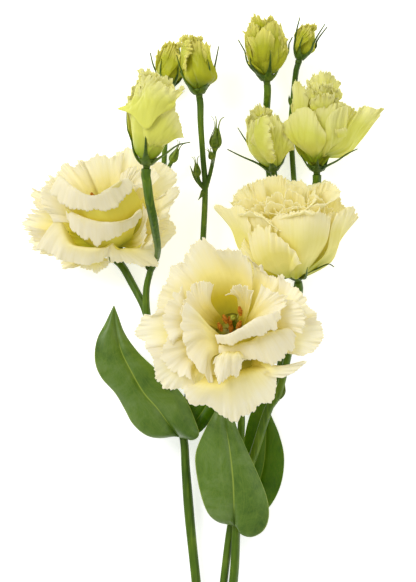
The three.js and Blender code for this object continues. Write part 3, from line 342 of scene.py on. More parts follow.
def blade_rings(line, half_width, half_thick, out, sides=10):
    """Rings of a narrow closed blade along a line. out is its thin direction."""
    ahead = unit(np.gradient(line, axis=0))
    thin = np.asarray(out, float) * np.ones((len(line), 3))
    thin = unit(thin - ahead * (thin * ahead).sum(1)[:, None])
    wide = np.cross(ahead, thin)
    turn = np.linspace(0, 2 * math.pi, sides, endpoint=False)
    return (line[:, None] + thin[:, None] * (np.cos(turn) * half_thick[:, None])[..., None]
            + wide[:, None] * (np.sin(turn) * half_width[:, None])[..., None])


def skin_of_rings(name, stacks, material):
    """One mesh from stacks of rings, each a closed skin with its ends filled."""
    points, faces, start = [], [], 0
    for rings in stacks:
        steps, sides = rings.shape[:2]
        points.append(rings.reshape(-1, 3))
        for k in range(steps - 1):
            for j in range(sides):
                a, b = start + k * sides + j, start + k * sides + (j + 1) % sides
                faces.append((a, b, b + sides, a + sides))
        faces.append([start + j for j in reversed(range(sides))])
        faces.append([start + (steps - 1) * sides + j for j in range(sides)])
        start += steps * sides
    mesh = bpy.data.meshes.new(name)
    mesh.from_pydata(frame_metres(np.vstack(points)).tolist(), [], faces)
    mesh.materials.append(material)
    mesh.polygons.foreach_set("use_smooth", [len(face) == 4 for face in faces])
    return bpy.data.objects.new(name, mesh)


def sepal_skin(name, dark, green, pale):
    """Green of sepals and cups: darker blotches and fine veins."""
    surface, node, coated = shader(name, 0.4, 0.25, 0.08)
    place = object_place(node)
    vein = noise(node, place, 900)
    tone = ramp(node, noise(node, place, 110), (0.33, dark), (0.52, green), (0.72, pale))
    fine = ramp(node, vein, (0.35, dark), (0.65, pale))
    return coated(mixed(node, 0.3, tone, fine), vein, 0.25, 0.00015)


sepal_green = sepal_skin("sepal_green", (0.02, 0.055, 0.003), (0.06, 0.12, 0.006), (0.15, 0.22, 0.015))
shares = np.linspace(0, 1, BRACT_STEPS)
bract_half = BRACT_THICK[0] + (BRACT_THICK[1] - BRACT_THICK[0]) * shares
placed(skin_of_rings("bracts", [
    blade_rings(curve_through(route, BRACT_STEPS), keyed(BRACT_BREADTH, shares), bract_half, (0, 0, 1))
    for route in BRACTS], sepal_green), "green_stem")


# ------------------------------------------------------------------ leaves
# Lisianthus leaves have no stalk of their own: the blade clasps the stem. They are smooth,
# waxy and grey-green, with a pale midrib, three to five veins that run along the blade and a
# thin pale margin, and they fold a little along the midrib.

VIEW_STEP, VIEW_MIDDLE = 0.4, (208, 291)                # mm a step of the view, and its middle in steps
WATCH_HEIGHT, SHARP_HEIGHT = 1500, 30                   # where the view is from and its step is true, mm
LEAF_THICK = 0.7                    # at the midrib, mm
RIB_FOLD, BASE_FOLD = 0.4, 1.3      # how deep the blade folds along its midrib and at its base, mm
SEAT = 0.02                         # least gap between a blade and the surface, mm
# Left margin, midrib and right margin from base to tip. A place is (right, down, height): steps of
# 0.4 mm right and down from the upper left corner of the view, and mm over the surface. bulge is how
# far the left and right half rise, wave how far and how often the margin swings.
LEAVES = {
    "left": dict(
        bulge=(1.6, 0.8), wave=(1.3, 1.6),
        left=[(176, 436, 11.5), (160, 438, 15.5), (146, 435, 16), (133, 424, 17), (124, 408, 18),
              (115, 393, 20), (101, 377, 20), (95, 360, 20), (97, 340, 20), (106, 322, 20),
              (114, 305, 20)],
        middle=[(180, 437, 10.2), (171, 427, 16), (158, 409, 20), (143, 392, 21.5), (131, 371, 22),
                (121, 350, 21.5), (116, 328, 20.5), (114, 305, 20)],
        right=[(184, 438, 11), (193, 440, 16), (199, 434, 18), (194, 418, 18), (186, 400, 18),
               (174, 385, 19), (155, 368, 20), (138, 352, 20), (125, 334, 20), (118, 316, 20),
               (114, 305, 20)]),
    "centre": dict(
        bulge=(1.4, 1.0), wave=(0.8, 1.4),
        left=[(231, 525, 10.8), (218, 522, 14), (208, 513, 15), (201, 495, 16), (196, 470, 17),
              (196, 452, 18), (204, 432, 18.5), (214, 413, 19), (222, 398, 18.5), (226, 392, 18)],
        middle=[(235, 526, 9.9), (234, 510, 15), (233, 480, 18), (230, 450, 19.5), (226, 425, 19.5),
                (224, 405, 19), (226, 392, 18)],
        right=[(239, 527, 10.6), (241, 534, 12.5), (252, 537, 13), (264, 530, 14), (269, 515, 15),
               (266, 495, 16), (256, 470, 17), (246, 448, 18), (237, 428, 18.5), (231, 408, 18.5),
               (226, 392, 18)]),
    "left_back": dict(
        bulge=(0.6, 0.6), wave=(0.5, 1.6),
        left=[(183, 433, 9.8), (180, 415, 10), (186, 395, 10.2), (200, 375, 10.4), (224, 363, 10)],
        middle=[(186, 434, 9.6), (195, 422, 10.6), (206, 406, 10.8), (216, 386, 10.8), (224, 363, 10)],
        right=[(189, 436, 9.2), (200, 432, 9.8), (210, 421, 10), (222, 402, 10.2), (228, 384, 10.2),
               (224, 363, 10)]),
    "right_back": dict(
        bulge=(0.5, 0.5), wave=(0.3, 1.6),
        left=[(237, 518, 3.4), (240, 495, 2.6), (243, 465, 2.2), (245, 435, 2.4), (252, 410, 3),
              (263, 395, 4)],
        middle=[(238, 521, 4.6), (253, 498, 3), (263, 468, 2.4), (266, 435, 2.6), (265, 412, 3.2),
                (263, 395, 4)],
        right=[(243, 524, 3.6), (262, 514, 2.8), (274, 500, 2.2), (282, 480, 2), (284, 456, 2),
               (279, 434, 2.4), (271, 415, 3), (263, 395, 4)]),
}


def from_view(right, down, height):
    """A place of the view at a height over the surface, on the drawing in mm."""
    step = VIEW_STEP * (WATCH_HEIGHT - height) / (WATCH_HEIGHT - SHARP_HEIGHT)
    return (right - VIEW_MIDDLE[0]) * step, (VIEW_MIDDLE[1] - down) * step, height


def closed_sheets(name, grids, material):
    """Sheets with a thickness as closed skins. Each grid is points, its place across and along,
    its thickness and its own shade; the shader reads those and the side from the mesh."""
    points, faces, blades, sides, start = [], [], [], [], 0
    for grid, across, along, thick, shade in grids:
        rows, cols = grid.shape[:2]
        half = unit(np.cross(np.gradient(grid, axis=1), np.gradient(grid, axis=0)))
        half = half * (np.broadcast_to(thick, (rows, cols)) / 2)[..., None]
        at = np.arange(rows * cols).reshape(rows, cols) + start
        back = at + rows * cols
        points += [(grid + half).reshape(-1, 3), (grid - half).reshape(-1, 3)]
        blade = [np.broadcast_to(x, (rows, cols)) for x in (across, along, shade)]
        blades += [np.stack(blade, -1).reshape(-1, 3)] * 2
        sides += [np.ones(rows * cols), np.zeros(rows * cols)]
        quads = [at[:-1, :-1], at[:-1, 1:], at[1:, 1:], at[1:, :-1]]
        faces.append(np.stack(quads, -1).reshape(-1, 4))
        quads = [back[:-1, :-1], back[1:, :-1], back[1:, 1:], back[:-1, 1:]]
        faces.append(np.stack(quads, -1).reshape(-1, 4))
        edge = np.concatenate([at[0, :-1], at[:-1, -1], at[-1, :0:-1], at[:0:-1, 0]])
        after = np.roll(edge, -1)
        faces.append(np.stack([after, edge, edge + rows * cols, after + rows * cols], -1))
        start += 2 * rows * cols
    mesh = bpy.data.meshes.new(name)
    mesh.from_pydata(frame_metres(np.vstack(points)).tolist(), [], np.vstack(faces).tolist())
    for title, kind, key, values in (("blade", "FLOAT_VECTOR", "vector", np.vstack(blades).ravel()),
                                     ("inner", "FLOAT", "value", np.concatenate(sides))):
        mesh.attributes.new(title, kind, "POINT").data.foreach_set(key, values)
    mesh.polygons.foreach_set("use_smooth", [True] * len(mesh.polygons))
    mesh.materials.append(material)
    return bpy.data.objects.new(name, mesh)


def leaf_skin(name, gloss, dark, green, bloom, pale):
    """Waxy green with a grey bloom, a pale midrib and margin and faint veins, by the place on the blade."""
    surface, node, coated = shader(name, 0.3, gloss, 0.03)
    blade = node("ShaderNodeAttribute", attribute_name="blade").outputs["Vector"]
    across = node("ShaderNodeSeparateXYZ", {0: blade}).outputs[0]
    aside = node("ShaderNodeMath", {0: across}, operation="ABSOLUTE").outputs[0]
    patch = noise(node, object_place(node), 60, 8, Roughness=0.7, Distortion=0.6)
    body = ramp(node, patch, (0.32, dark), (0.5, green), (0.72, bloom))
    bands = grey_ramp(node, aside, (0.0, 0.9), (0.05, 0), (0.28, 0), (0.3, 0.12), (0.32, 0), (0.965, 0),
                      (1.0, 0.8))
    net = node("ShaderNodeTexVoronoi", feature="DISTANCE_TO_EDGE", Scale=1,
               Vector=stretched(node, blade, (9, 16, 9))).outputs["Distance"]
    web = grey_ramp(node, net, (0.0, 0.07), (0.08, 0))
    vein = node("ShaderNodeMath", {0: bands, 1: web}, operation="MAXIMUM").outputs[0]
    dull = node("ShaderNodeMapRange", {0: patch, 3: 0.24, 4: 0.5}).outputs[0]
    surface.id_data.links.new(dull, surface.inputs["Roughness"])
    return coated(mixed(node, vein, body, (*pale, 1)), patch, 0.25, 0.0003)


def leaf_blade(left, middle, right, bulge, wave, rows=90, cols=61):
    """A leaf's grid between its margins and its midrib, each half bulging and waved at its margin."""
    t, s = np.linspace(0, 1, rows)[:, None], np.linspace(-1, 1, cols)[None, :]
    low, rib, high = (curve_through([from_view(*p) for p in line], rows)[:, None]
                      for line in (left, middle, right))
    reach = np.where(s[..., None] > 0, high, low) - rib
    grid = rib + reach * np.abs(s)[..., None]
    breadth = np.linalg.norm(reach, axis=2)
    full = np.minimum(1, breadth / 6)
    grid[..., 2] += full * (np.where(s > 0, bulge[1], bulge[0]) * np.sin(math.pi * np.abs(s))
                            + wave[0] * s ** 2 * np.sin(2 * math.pi * wave[1] * t + 1.7 * (s > 0)))
    grid[..., 2] -= RIB_FOLD * np.exp(-(s * breadth / 0.9) ** 2)
    grid[..., 2] -= full * BASE_FOLD * s ** 6 * np.exp(-(t / 0.3) ** 2)
    thick = LEAF_THICK * (1 - 0.6 * np.abs(s)) * np.ones_like(t)
    grid[..., 2] = np.maximum(grid[..., 2], thick / 2 + SEAT)
    return grid, s, t, thick, 0


# the leaves at the back take a darker, less glossy copy of the leaf green: painted shade for the shadow they
# lie in
leaf_skins = [
    leaf_skin("leaf_green", 0.42, (0.045, 0.11, 0.003), (0.1, 0.19, 0.014), (0.17, 0.26, 0.07),
              (0.36, 0.46, 0.06)),
    leaf_skin("leaf_deep_green", 0.14, (0.035, 0.1, 0.001), (0.06, 0.15, 0.001), (0.11, 0.2, 0.006),
              (0.25, 0.34, 0.03)),
]
for name, blade in LEAVES.items():
    skin = leaf_skins["back" in name]
    placed(closed_sheets(f"leaf_{name}_blade", [leaf_blade(**blade)], skin), "green_leaf", f"leaf_{name}")


# ------------------------------------------------------------------ petals of the open blooms
# Three double blooms: layers of broad petals stand round a small core, each a thin satin blade
# that narrows to its foot, softly waved, with a cut and frilled margin. They are yellow-green
# at the foot and cream at the rim, and light passes through them.

PETAL_THICK = (0.5, 0.26)           # at the foot and at the rim, mm
PETAL_FOOT = 1.6                    # how far a laid petal's foot stands from its flower's base, mm
# The petals that show are laid by lines across the blade, from low on it to its rim, of places as
# in the leaves. Each line runs round its flower in the same sense: left to right on the side that
# faces up, right to left on the far side. Waves, pleats and the frill of the margin are (mm, count
# across), its lobes too; fringe is the depth of its finer teeth in mm.
LAID_CENTRE = [
    # the tall petal at the back
    dict(seed=1, frill=(1.1, 7), fringe=1.2, lobes=(1.3, 4.5), pleats=(0.9, 2.5), lines=[
        [(244, 318, 43), (236, 308, 42), (226, 306, 42), (214, 312, 43)],
        [(252, 288, 50), (238, 274, 48), (222, 270, 47), (206, 274, 48), (196, 286, 50)],
        [(250, 262, 55), (240, 249, 56), (226, 248, 55), (213, 244, 54), (200, 237, 52), (188, 247, 51),
         (179, 266, 50)]]),
    dict(seed=2, lines=[  # the lobes left behind
        [(216, 312, 43), (208, 318, 43), (206, 326, 44)], [(196, 284, 49), (184, 294, 49), (182, 312, 49)],
        [(181, 261, 50), (170, 265, 50), (167, 277, 50), (159, 291, 50), (156, 301, 51), (155, 314, 52)]]),
    dict(seed=3, frill=(0.6, 9), lines=[  # the left inner petal
        [(222, 318, 46), (217, 322, 46), (216, 328, 47)], [(211, 302, 52), (202, 306, 53), (196, 320, 54)],
        [(214, 283, 57), (205, 278, 58), (192, 284, 58), (184, 297, 58), (177, 314, 58)]]),
    dict(seed=4, frill=(0.5, 8), fringe=0.4, lines=[  # its neighbour, with a long free edge
        [(217, 333, 57), (219, 342, 56), (222, 352, 55)], [(200, 314, 60), (202, 336, 57), (211, 360, 57)],
        [(184, 299, 63), (180, 318, 61), (183, 345, 60), (193, 366, 60), (205, 380, 59), (214, 386, 58)]]),
    dict(seed=5, frill=(0.8, 6), lines=[  # the outer left fan
        [(210, 325, 45), (207, 335, 45), (208, 345, 45)], [(182, 310, 52), (175, 330, 53), (178, 350, 53)],
        [(156, 309, 53), (149, 316, 53), (140, 318, 52), (135, 327, 51), (132, 335, 50), (141, 341, 51),
         (146, 350, 52), (155, 360, 53)]]),
    # two shorter ones in front of it
    dict(seed=19, frill=(0.4, 4), lobes=(1.3, 3), waves=(1.6, 1.6), lines=[
        [(212, 322, 46), (207, 328, 46), (206, 336, 47)], [(190, 302, 54), (182, 318, 55), (182, 336, 55)],
        [(182, 286, 58), (172, 292, 57), (163, 305, 56), (160, 318, 56), (163, 332, 56), (172, 346, 56)]]),
    dict(seed=20, frill=(0.4, 4), lobes=(1.3, 3), waves=(1.6, 1.6), lines=[
        [(208, 338, 46), (208, 346, 46), (212, 354, 47)], [(186, 338, 54), (184, 352, 55), (192, 366, 55)],
        [(170, 336, 57), (160, 346, 56), (158, 358, 55), (166, 370, 56), (178, 377, 57), (192, 382, 57)]]),
    dict(seed=6, frill=(0.8, 6), lines=[  # lower left
        [(208, 345, 45), (211, 352, 46), (216, 357, 46)], [(176, 345, 54), (180, 363, 54), (196, 376, 54)],
        [(143, 345, 53), (152, 360, 52), (153, 373, 51), (157, 385, 50), (168, 391, 50), (177, 390, 51),
         (188, 391, 52), (198, 392, 53)]]),
    dict(seed=7, waves=(1.0, 2.2), frill=(0.8, 11), lines=[  # the long petal below, bent back
        [(222, 350, 41), (234, 352, 42), (248, 350, 41)], [(212, 368, 48), (232, 372, 49), (254, 363, 49)],
        [(196, 384, 57), (220, 386, 60), (243, 377, 60), (266, 369, 58)],
        [(183, 386, 55), (186, 398, 54), (193, 406, 54), (206, 407, 54), (217, 414, 53), (230, 423, 51),
         (241, 420, 52), (251, 415, 54), (263, 406, 56), (272, 404, 56), (278, 389, 56), (276, 378, 57)]]),
    dict(seed=18, lines=[  # a petal deep between them
        [(208, 344, 43), (216, 352, 44), (232, 356, 45)], [(194, 362, 50), (208, 366, 51), (236, 366, 52)],
        [(184, 384, 51), (200, 394, 51), (220, 394, 52), (248, 384, 53)]]),
    # a short sheet in the green-yellow hollow beside them that shows only the darker foot and throat tones:
    # painted shade for the hollow
    dict(seed=40, rooted=False, shade=(0.14, 0.4), frill=(0.2, 4), lines=[
        [(234, 358, 49), (248, 356, 50), (266, 358, 51)], [(238, 367, 50), (250, 367, 51), (265, 364, 52)],
        [(242, 375, 54), (252, 373, 54), (263, 368, 55)]]),
    dict(seed=8, frill=(0.3, 6), lobes=(0.3, 3), waves=(0.3, 1.4), lines=[  # the narrow pointed petal
        [(246, 358, 46), (248, 352, 46), (248, 348, 46)], [(262, 374, 58), (267, 368, 58), (267, 362, 57)],
        [(283, 378, 58), (297, 371, 57), (308, 361, 57), (296, 364, 58), (282, 367, 58)]]),
    dict(seed=9, frill=(0.8, 7), lines=[  # the fan at the right
        [(250, 350, 46), (252, 342, 45), (252, 336, 45)], [(274, 354, 54), (284, 340, 54), (286, 324, 54)],
        [(291, 352, 56), (304, 355, 55), (315, 352, 54), (323, 342, 53), (326, 333, 53), (323, 323, 53),
         (316, 316, 54)]]),
    dict(seed=10, frill=(0.9, 6), lines=[  # above it
        [(250, 336, 45), (250, 328, 45), (247, 322, 45)], [(282, 328, 53), (284, 312, 53), (276, 298, 52)],
        [(319, 324, 53), (318, 312, 53), (309, 305, 53), (307, 297, 52), (297, 286, 51), (288, 280, 51),
         (278, 274, 50)]]),
    dict(seed=11, frill=(1.2, 9), lines=[  # behind at the right
        [(248, 324, 43), (245, 318, 43), (240, 314, 43)], [(276, 300, 50), (268, 284, 49), (254, 272, 49)],
        [(292, 284, 50), (283, 274, 50), (270, 275, 50), (258, 267, 50), (248, 257, 50), (243, 249, 51)]]),
    dict(seed=12, frill=(0.9, 6), lines=[  # inner ruffles at the right
        [(249, 333, 47), (249, 326, 47), (246, 320, 47)], [(276, 328, 56), (278, 314, 57), (272, 304, 56)],
        [(303, 334, 59), (307, 322, 60), (304, 309, 60), (296, 301, 59), (286, 299, 58)]]),
    dict(seed=13, frill=(1.0, 6), lines=[
        [(246, 332, 49), (247, 326, 49), (246, 321, 49)], [(262, 322, 58), (262, 312, 58), (256, 302, 57)],
        [(277, 324, 63), (282, 313, 63), (288, 303, 63), (284, 294, 62), (273, 290, 61), (262, 283, 60)]]),
    dict(seed=14, frill=(0.6, 5), lobes=(0.5, 2.5), lines=[  # a narrow curled petal in the throat
        [(244, 326, 47), (242, 320, 46), (238, 316, 46)], [(250, 308, 52), (244, 300, 51), (236, 299, 50)],
        [(252, 298, 58), (248, 288, 59), (240, 283, 58), (232, 287, 57), (228, 297, 56)]]),
    # the near lip of the throat
    dict(seed=15, frill=(0.4, 5), waves=(0.8, 1.3), lobes=(0.6, 3), fringe=0.4, crumple=0.6, lines=[
        [(224, 346, 46), (234, 350, 48), (248, 344, 46)],
        [(215, 334, 64), (229, 333, 67.5), (244, 326, 69.5), (258, 318, 69), (272, 311, 66)],
        [(217, 345, 64), (229, 347, 66), (238, 344, 67), (247, 339, 67.5), (262, 336, 67.5),
         (276, 330, 67), (284, 318, 65)]]),
    # and the lip under it
    dict(seed=16, frill=(0.5, 6), waves=(1.0, 1.6), lobes=(0.8, 3), fringe=0.6, crumple=0.7, lines=[
        [(222, 352, 46), (236, 356, 48), (252, 350, 46)],
        [(219, 346, 59), (236, 345, 61), (252, 339, 62.5), (268, 333, 63), (284, 328, 61)],
        [(220, 353, 59), (229, 359, 60), (238, 361, 60.5), (250, 361, 61.5), (262, 363, 61.5),
         (272, 367, 60), (283, 360, 60), (294, 351, 59), (299, 338, 58)]]),
    # a small ruffled petal that hangs over it
    dict(seed=17, frill=(0.8, 3), lobes=(1.2, 3), waves=(1.2, 1.2), crumple=0.9, lines=[
        [(226, 350, 54), (232, 351, 56), (240, 350, 55)], [(216, 354, 66), (230, 356, 70), (246, 356, 67)],
        [(210, 366, 64), (214, 378, 64), (221, 384, 64.5), (230, 379, 66), (239, 377, 65),
         (247, 362, 66)]]),
]
LAID_LEFT = [
    # the lip of the inner cup
    dict(seed=21, frill=(0.4, 7), waves=(0.8, 1.6), fringe=0.6, lobes=(0.7, 4), pleats=(0.3, 3), lines=[
        [(98, 238, 14), (108, 242, 17), (120, 240, 15)],
        [(74, 212, 26), (94, 222, 29), (118, 222, 29), (141, 207, 26)],
        [(62, 176, 34), (78, 190, 38), (94, 196, 39), (106, 190, 38), (116, 182, 37), (126, 178, 36)],
        [(49, 193, 33), (61, 206, 33), (76, 211, 34), (94, 211, 35), (112, 211, 35), (124, 202, 35),
         (137, 187, 35)]]),
    # the lip under it
    dict(seed=22, frill=(0.45, 7), waves=(0.9, 1.6), fringe=0.6, lobes=(0.8, 4), pleats=(0.3, 3), lines=[
        [(100, 244, 14), (110, 248, 17), (122, 245, 15)],
        [(84, 240, 20), (98, 247, 22), (114, 245, 22), (132, 236, 20)],
        [(66, 207, 29), (82, 217, 31), (108, 222, 33), (128, 219, 32), (140, 210, 30)],
        [(66, 221, 27), (75, 234, 27), (87, 241, 27), (97, 248, 27), (108, 242, 27), (123, 235, 27),
         (134, 227, 27), (141, 215, 27)]]),
    dict(seed=23, frill=(0.5, 7), fringe=0.6, lines=[  # lower left
        [(102, 249, 9), (108, 251, 11), (114, 251, 11)], [(78, 249, 15), (92, 253, 17), (106, 253, 17)],
        [(58, 220, 24), (66, 240, 25), (77, 247, 26), (92, 249, 26), (104, 247, 25), (114, 240, 24)],
        [(34, 250, 18), (46, 254, 19), (60, 261, 20), (75, 264, 20), (90, 264, 21), (103, 262, 22),
         (113, 252, 22)]]),
    dict(seed=24, frill=(0.7, 8), lines=[  # lowest
        [(104, 251, 7), (108, 253, 7), (113, 252, 7)], [(84, 257, 12), (94, 261, 13), (104, 259, 13)],
        [(57, 262, 13), (61, 270, 13), (75, 268, 13), (88, 271, 13), (98, 274, 13), (108, 267, 13),
         (117, 256, 14)]]),
    dict(seed=25, frill=(0.6, 9), lines=[  # lower right
        [(115, 251, 8), (119, 250, 10), (122, 248, 11)], [(112, 252, 15), (124, 256, 17), (138, 251, 17)],
        [(111, 239, 24), (118, 248, 23), (130, 249, 22), (141, 245, 22)],
        [(103, 262, 19), (118, 264, 18), (132, 265, 18), (147, 268, 17), (161, 264, 16), (159, 250, 18),
         (152, 239, 20)]]),
    dict(seed=26, waves=(1.6, 2), frill=(0.5, 8), lines=[  # right, standing in folds
        [(122, 247, 13), (124, 243, 12), (124, 240, 12)], [(136, 249, 20), (146, 238, 19), (146, 221, 21)],
        [(151, 249, 22), (157, 233, 24), (158, 215, 26), (151, 199, 28)]]),
    dict(seed=41, frill=(0.4, 5), lines=[  # and one more fold, beside the lips
        [(122, 246, 14), (125, 243, 15), (127, 240, 16)], [(135, 250, 18), (139, 238, 21), (140, 227, 23)],
        [(140, 251, 21), (144, 240, 24), (148, 228, 26), (147, 215, 28), (144, 202, 29)]]),
    dict(seed=27, frill=(0.3, 8), fringe=0.3, lines=[  # far right
        [(124, 247, 9), (127, 243, 9), (126, 240, 9)], [(143, 247, 13), (150, 236, 13), (149, 222, 14)],
        [(160, 253, 13), (169, 242, 13), (178, 230, 13), (171, 217, 14), (166, 204, 15)]]),
    dict(seed=28, frill=(0.5, 6), lines=[
        [(124, 243, 11), (126, 239, 11), (124, 236, 12)], [(147, 226, 21), (151, 214, 22), (149, 203, 22)],
        [(168, 216, 23), (174, 203, 23), (182, 189, 23), (176, 185, 23), (166, 191, 23), (161, 199, 23)]]),
    dict(seed=39, frill=(0.6, 7), lines=[  # inside the far right one
        [(124, 246, 11), (127, 241, 11), (126, 237, 11)], [(143, 240, 16), (148, 228, 17), (148, 216, 17)],
        [(150, 251, 17), (158, 242, 17), (163, 234, 17), (170, 225, 17), (167, 215, 17), (158, 208, 17)]]),
    dict(seed=29, frill=(0.7, 7), lines=[  # upper right
        [(123, 240, 12), (123, 236, 13), (120, 233, 14)], [(146, 212, 18), (143, 199, 19), (137, 193, 20)],
        [(163, 198, 16), (172, 189, 16), (178, 176, 17), (170, 165, 18), (157, 159, 19)]]),
    dict(seed=30, lines=[
        [(121, 236, 14), (119, 232, 14), (115, 230, 15)], [(141, 200, 24), (132, 190, 24), (121, 187, 24)],
        [(161, 176, 26), (151, 161, 26), (140, 150, 26), (129, 146, 26), (116, 152, 27)]]),
    dict(seed=31, frill=(0.5, 6), lines=[  # back
        [(117, 232, 14), (112, 230, 14), (107, 230, 14)], [(119, 188, 24), (106, 186, 24), (92, 189, 24)],
        [(124, 151, 28), (109, 156, 29), (97, 152, 29), (85, 160, 29), (75, 158, 29)]]),
    dict(seed=32, lines=[
        [(109, 232, 14), (105, 232, 14), (102, 234, 14)], [(97, 190, 24), (86, 194, 24), (80, 203, 24)],
        [(82, 159, 29), (71, 165, 29), (63, 162, 28), (58, 169, 28), (54, 178, 28)]]),
    dict(seed=33, frill=(0.6, 7), fringe=1.4, lobes=(1.8, 4), lines=[  # left fans
        [(104, 236, 12), (102, 239, 12), (102, 242, 11)], [(84, 204, 21), (77, 212, 20), (75, 222, 19)],
        [(60, 172, 26), (48, 174, 25), (42, 184, 24), (35, 190, 23), (28, 187, 22), (30, 200, 22),
         (34, 208, 22)]]),
    dict(seed=34, frill=(0.6, 7), fringe=1.4, lobes=(1.8, 4), lines=[
        [(103, 241, 10), (102, 244, 9), (103, 247, 8)], [(77, 222, 16), (73, 230, 15), (76, 240, 14)],
        [(40, 197, 20), (32, 206, 18), (24, 215, 17), (18, 222, 16), (20, 229, 15), (27, 232, 15),
         (30, 242, 15)]]),
    dict(seed=35, frill=(0.6, 7), fringe=1.2, lobes=(1.5, 4), lines=[
        [(102, 246, 9), (104, 249, 9), (106, 250, 9)], [(73, 236, 17), (77, 244, 16), (86, 251, 14)],
        [(27, 226, 17), (26, 239, 15), (32, 250, 15), (42, 255, 15), (53, 254, 16), (62, 258, 17)]]),
    dict(seed=36, frill=(0.7, 7), lines=[  # between the fans and the cup
        [(103, 240, 14), (102, 243, 13), (103, 245, 12)], [(76, 202, 26), (70, 212, 25), (74, 224, 23)],
        [(50, 178, 31), (40, 190, 29), (40, 202, 28), (45, 212, 26), (53, 219, 23)]]),
    dict(seed=37, frill=(0.6, 5), lines=[  # a small ruffle at the right of the cup
        [(119, 238, 17), (118, 235, 17), (116, 234, 17)], [(136, 192, 28), (128, 186, 28), (119, 187, 28)],
        [(143, 189, 30), (144, 177, 29), (139, 167, 28), (130, 166, 28), (121, 173, 28)]]),
]
LAID_RIGHT = [
    dict(seed=51, frill=(0.6, 12), waves=(0.5, 1.6), lines=[  # the near middle petal
        [(285, 273, 26), (297, 277, 31), (307, 270, 28)], [(273, 246, 38), (300, 245, 47), (326, 244, 38)],
        [(267, 221, 38), (278, 214, 42), (290, 211, 44), (302, 209, 45), (314, 210, 44), (324, 212, 42),
         (331, 217, 38)]]),
    # overlapped by one that bends back
    dict(seed=52, frill=(0.5, 10), waves=(0.7, 2.4), pleats=(0.7, 5), lines=[
        [(278, 275, 26), (286, 276, 29), (292, 273, 30)],
        [(256, 261, 36), (272, 252, 44), (288, 252, 46), (297, 265, 42)],
        [(248, 233, 36), (256, 225, 41), (267, 224, 45), (275, 232, 48), (287, 243, 50), (298, 255, 48),
         (302, 263, 45)]]),
    dict(seed=53, frill=(0.5, 7), waves=(0.5, 1.6), lines=[  # right
        [(303, 272, 27), (309, 273, 22), (304, 277, 17)], [(325, 254, 35), (334, 252, 29), (331, 262, 20)],
        [(331, 230, 38), (341, 228, 34), (340, 240, 27)],
        [(338, 213, 38), (346, 207, 36), (354, 206, 34), (359, 216, 30)]]),
    dict(seed=54, frill=(0.5, 7), waves=(0.6, 1.6), lines=[
        [(302, 271, 25), (307, 271, 24), (310, 273, 22)], [(320, 246, 35), (328, 243, 33), (334, 240, 29)],
        [(325, 213, 37), (334, 211, 36), (343, 212, 32)]]),
    dict(seed=55, frill=(0.5, 9), waves=(0.7, 1.6), lobes=(0.4, 3), lines=[  # left, with a flared tip
        [(286, 277, 17), (281, 276, 21), (283, 273, 25)], [(244, 256, 24), (252, 251, 30), (258, 252, 36)],
        [(230, 228, 28), (240, 227, 34), (251, 233, 38)],
        [(213, 210, 30), (216, 203, 33), (227, 208, 35), (238, 204, 37), (247, 211, 38), (250, 225, 39)]]),
    dict(seed=60, frill=(0.4, 6), lines=[  # behind them, left
        [(284, 274, 22), (287, 274, 23), (291, 273, 24)], [(252, 248, 31), (262, 238, 37), (280, 240, 41)],
        [(246, 233, 33), (249, 214, 38), (257, 211, 41), (267, 217, 43), (277, 229, 43)]]),
    dict(seed=56, frill=(0.8, 6), lines=[  # low at the left
        [(284, 276, 22), (280, 278, 24), (277, 278, 25)], [(262, 258, 31), (257, 268, 32), (262, 277, 31)],
        [(247, 232, 34), (240, 243, 34), (240, 256, 33), (246, 266, 32), (253, 275, 31)]]),
    dict(seed=67, frill=(0.8, 6), lines=[
        [(284, 277, 22), (281, 279, 23), (279, 280, 24)], [(266, 267, 28), (262, 273, 28), (266, 280, 27)],
        [(246, 259, 30), (240, 268, 29), (246, 278, 28), (258, 283, 27), (272, 284, 27)]]),
    dict(seed=57, frill=(1.2, 8), fringe=1.1, lines=[  # back, right to left
        [(310, 272, 15), (308, 268, 14), (303, 265, 14)], [(330, 228, 24), (320, 221, 23), (306, 222, 23)],
        [(343, 209, 30), (340, 197, 29), (340, 188, 28), (329, 181, 27), (318, 184, 27), (307, 190, 27)]]),
    dict(seed=58, frill=(1.2, 9), fringe=1.1, lines=[
        [(304, 266, 14), (298, 264, 14), (292, 264, 14)], [(298, 215, 25), (282, 213, 24), (266, 218, 24)],
        [(304, 189, 30), (291, 182, 30), (283, 175, 29), (270, 175, 28), (258, 179, 28), (249, 187, 28)]]),
    dict(seed=59, frill=(1.2, 9), fringe=1.4, lines=[
        [(293, 265, 14), (288, 267, 14), (284, 270, 14)], [(272, 217, 27), (258, 220, 25), (250, 226, 25)],
        [(263, 180, 31), (250, 181, 29), (240, 187, 28), (233, 194, 28), (229, 202, 29)]]),
]
INNER_RUFFLES = [                   # the small ones inside the right bloom: each rim's ends and height
    (334, 206, 305, 199, 35), (308, 199, 280, 194, 35), (284, 197, 260, 202, 36), (266, 203, 233, 203, 33),
    (328, 209, 302, 206, 39), (306, 207, 282, 205, 40), (288, 208, 262, 207, 40), (270, 208, 246, 209, 37),
    (318, 213, 296, 211, 42), (300, 211, 276, 213, 43),
]
RUFFLE_FOOT = (296, 264, 16)
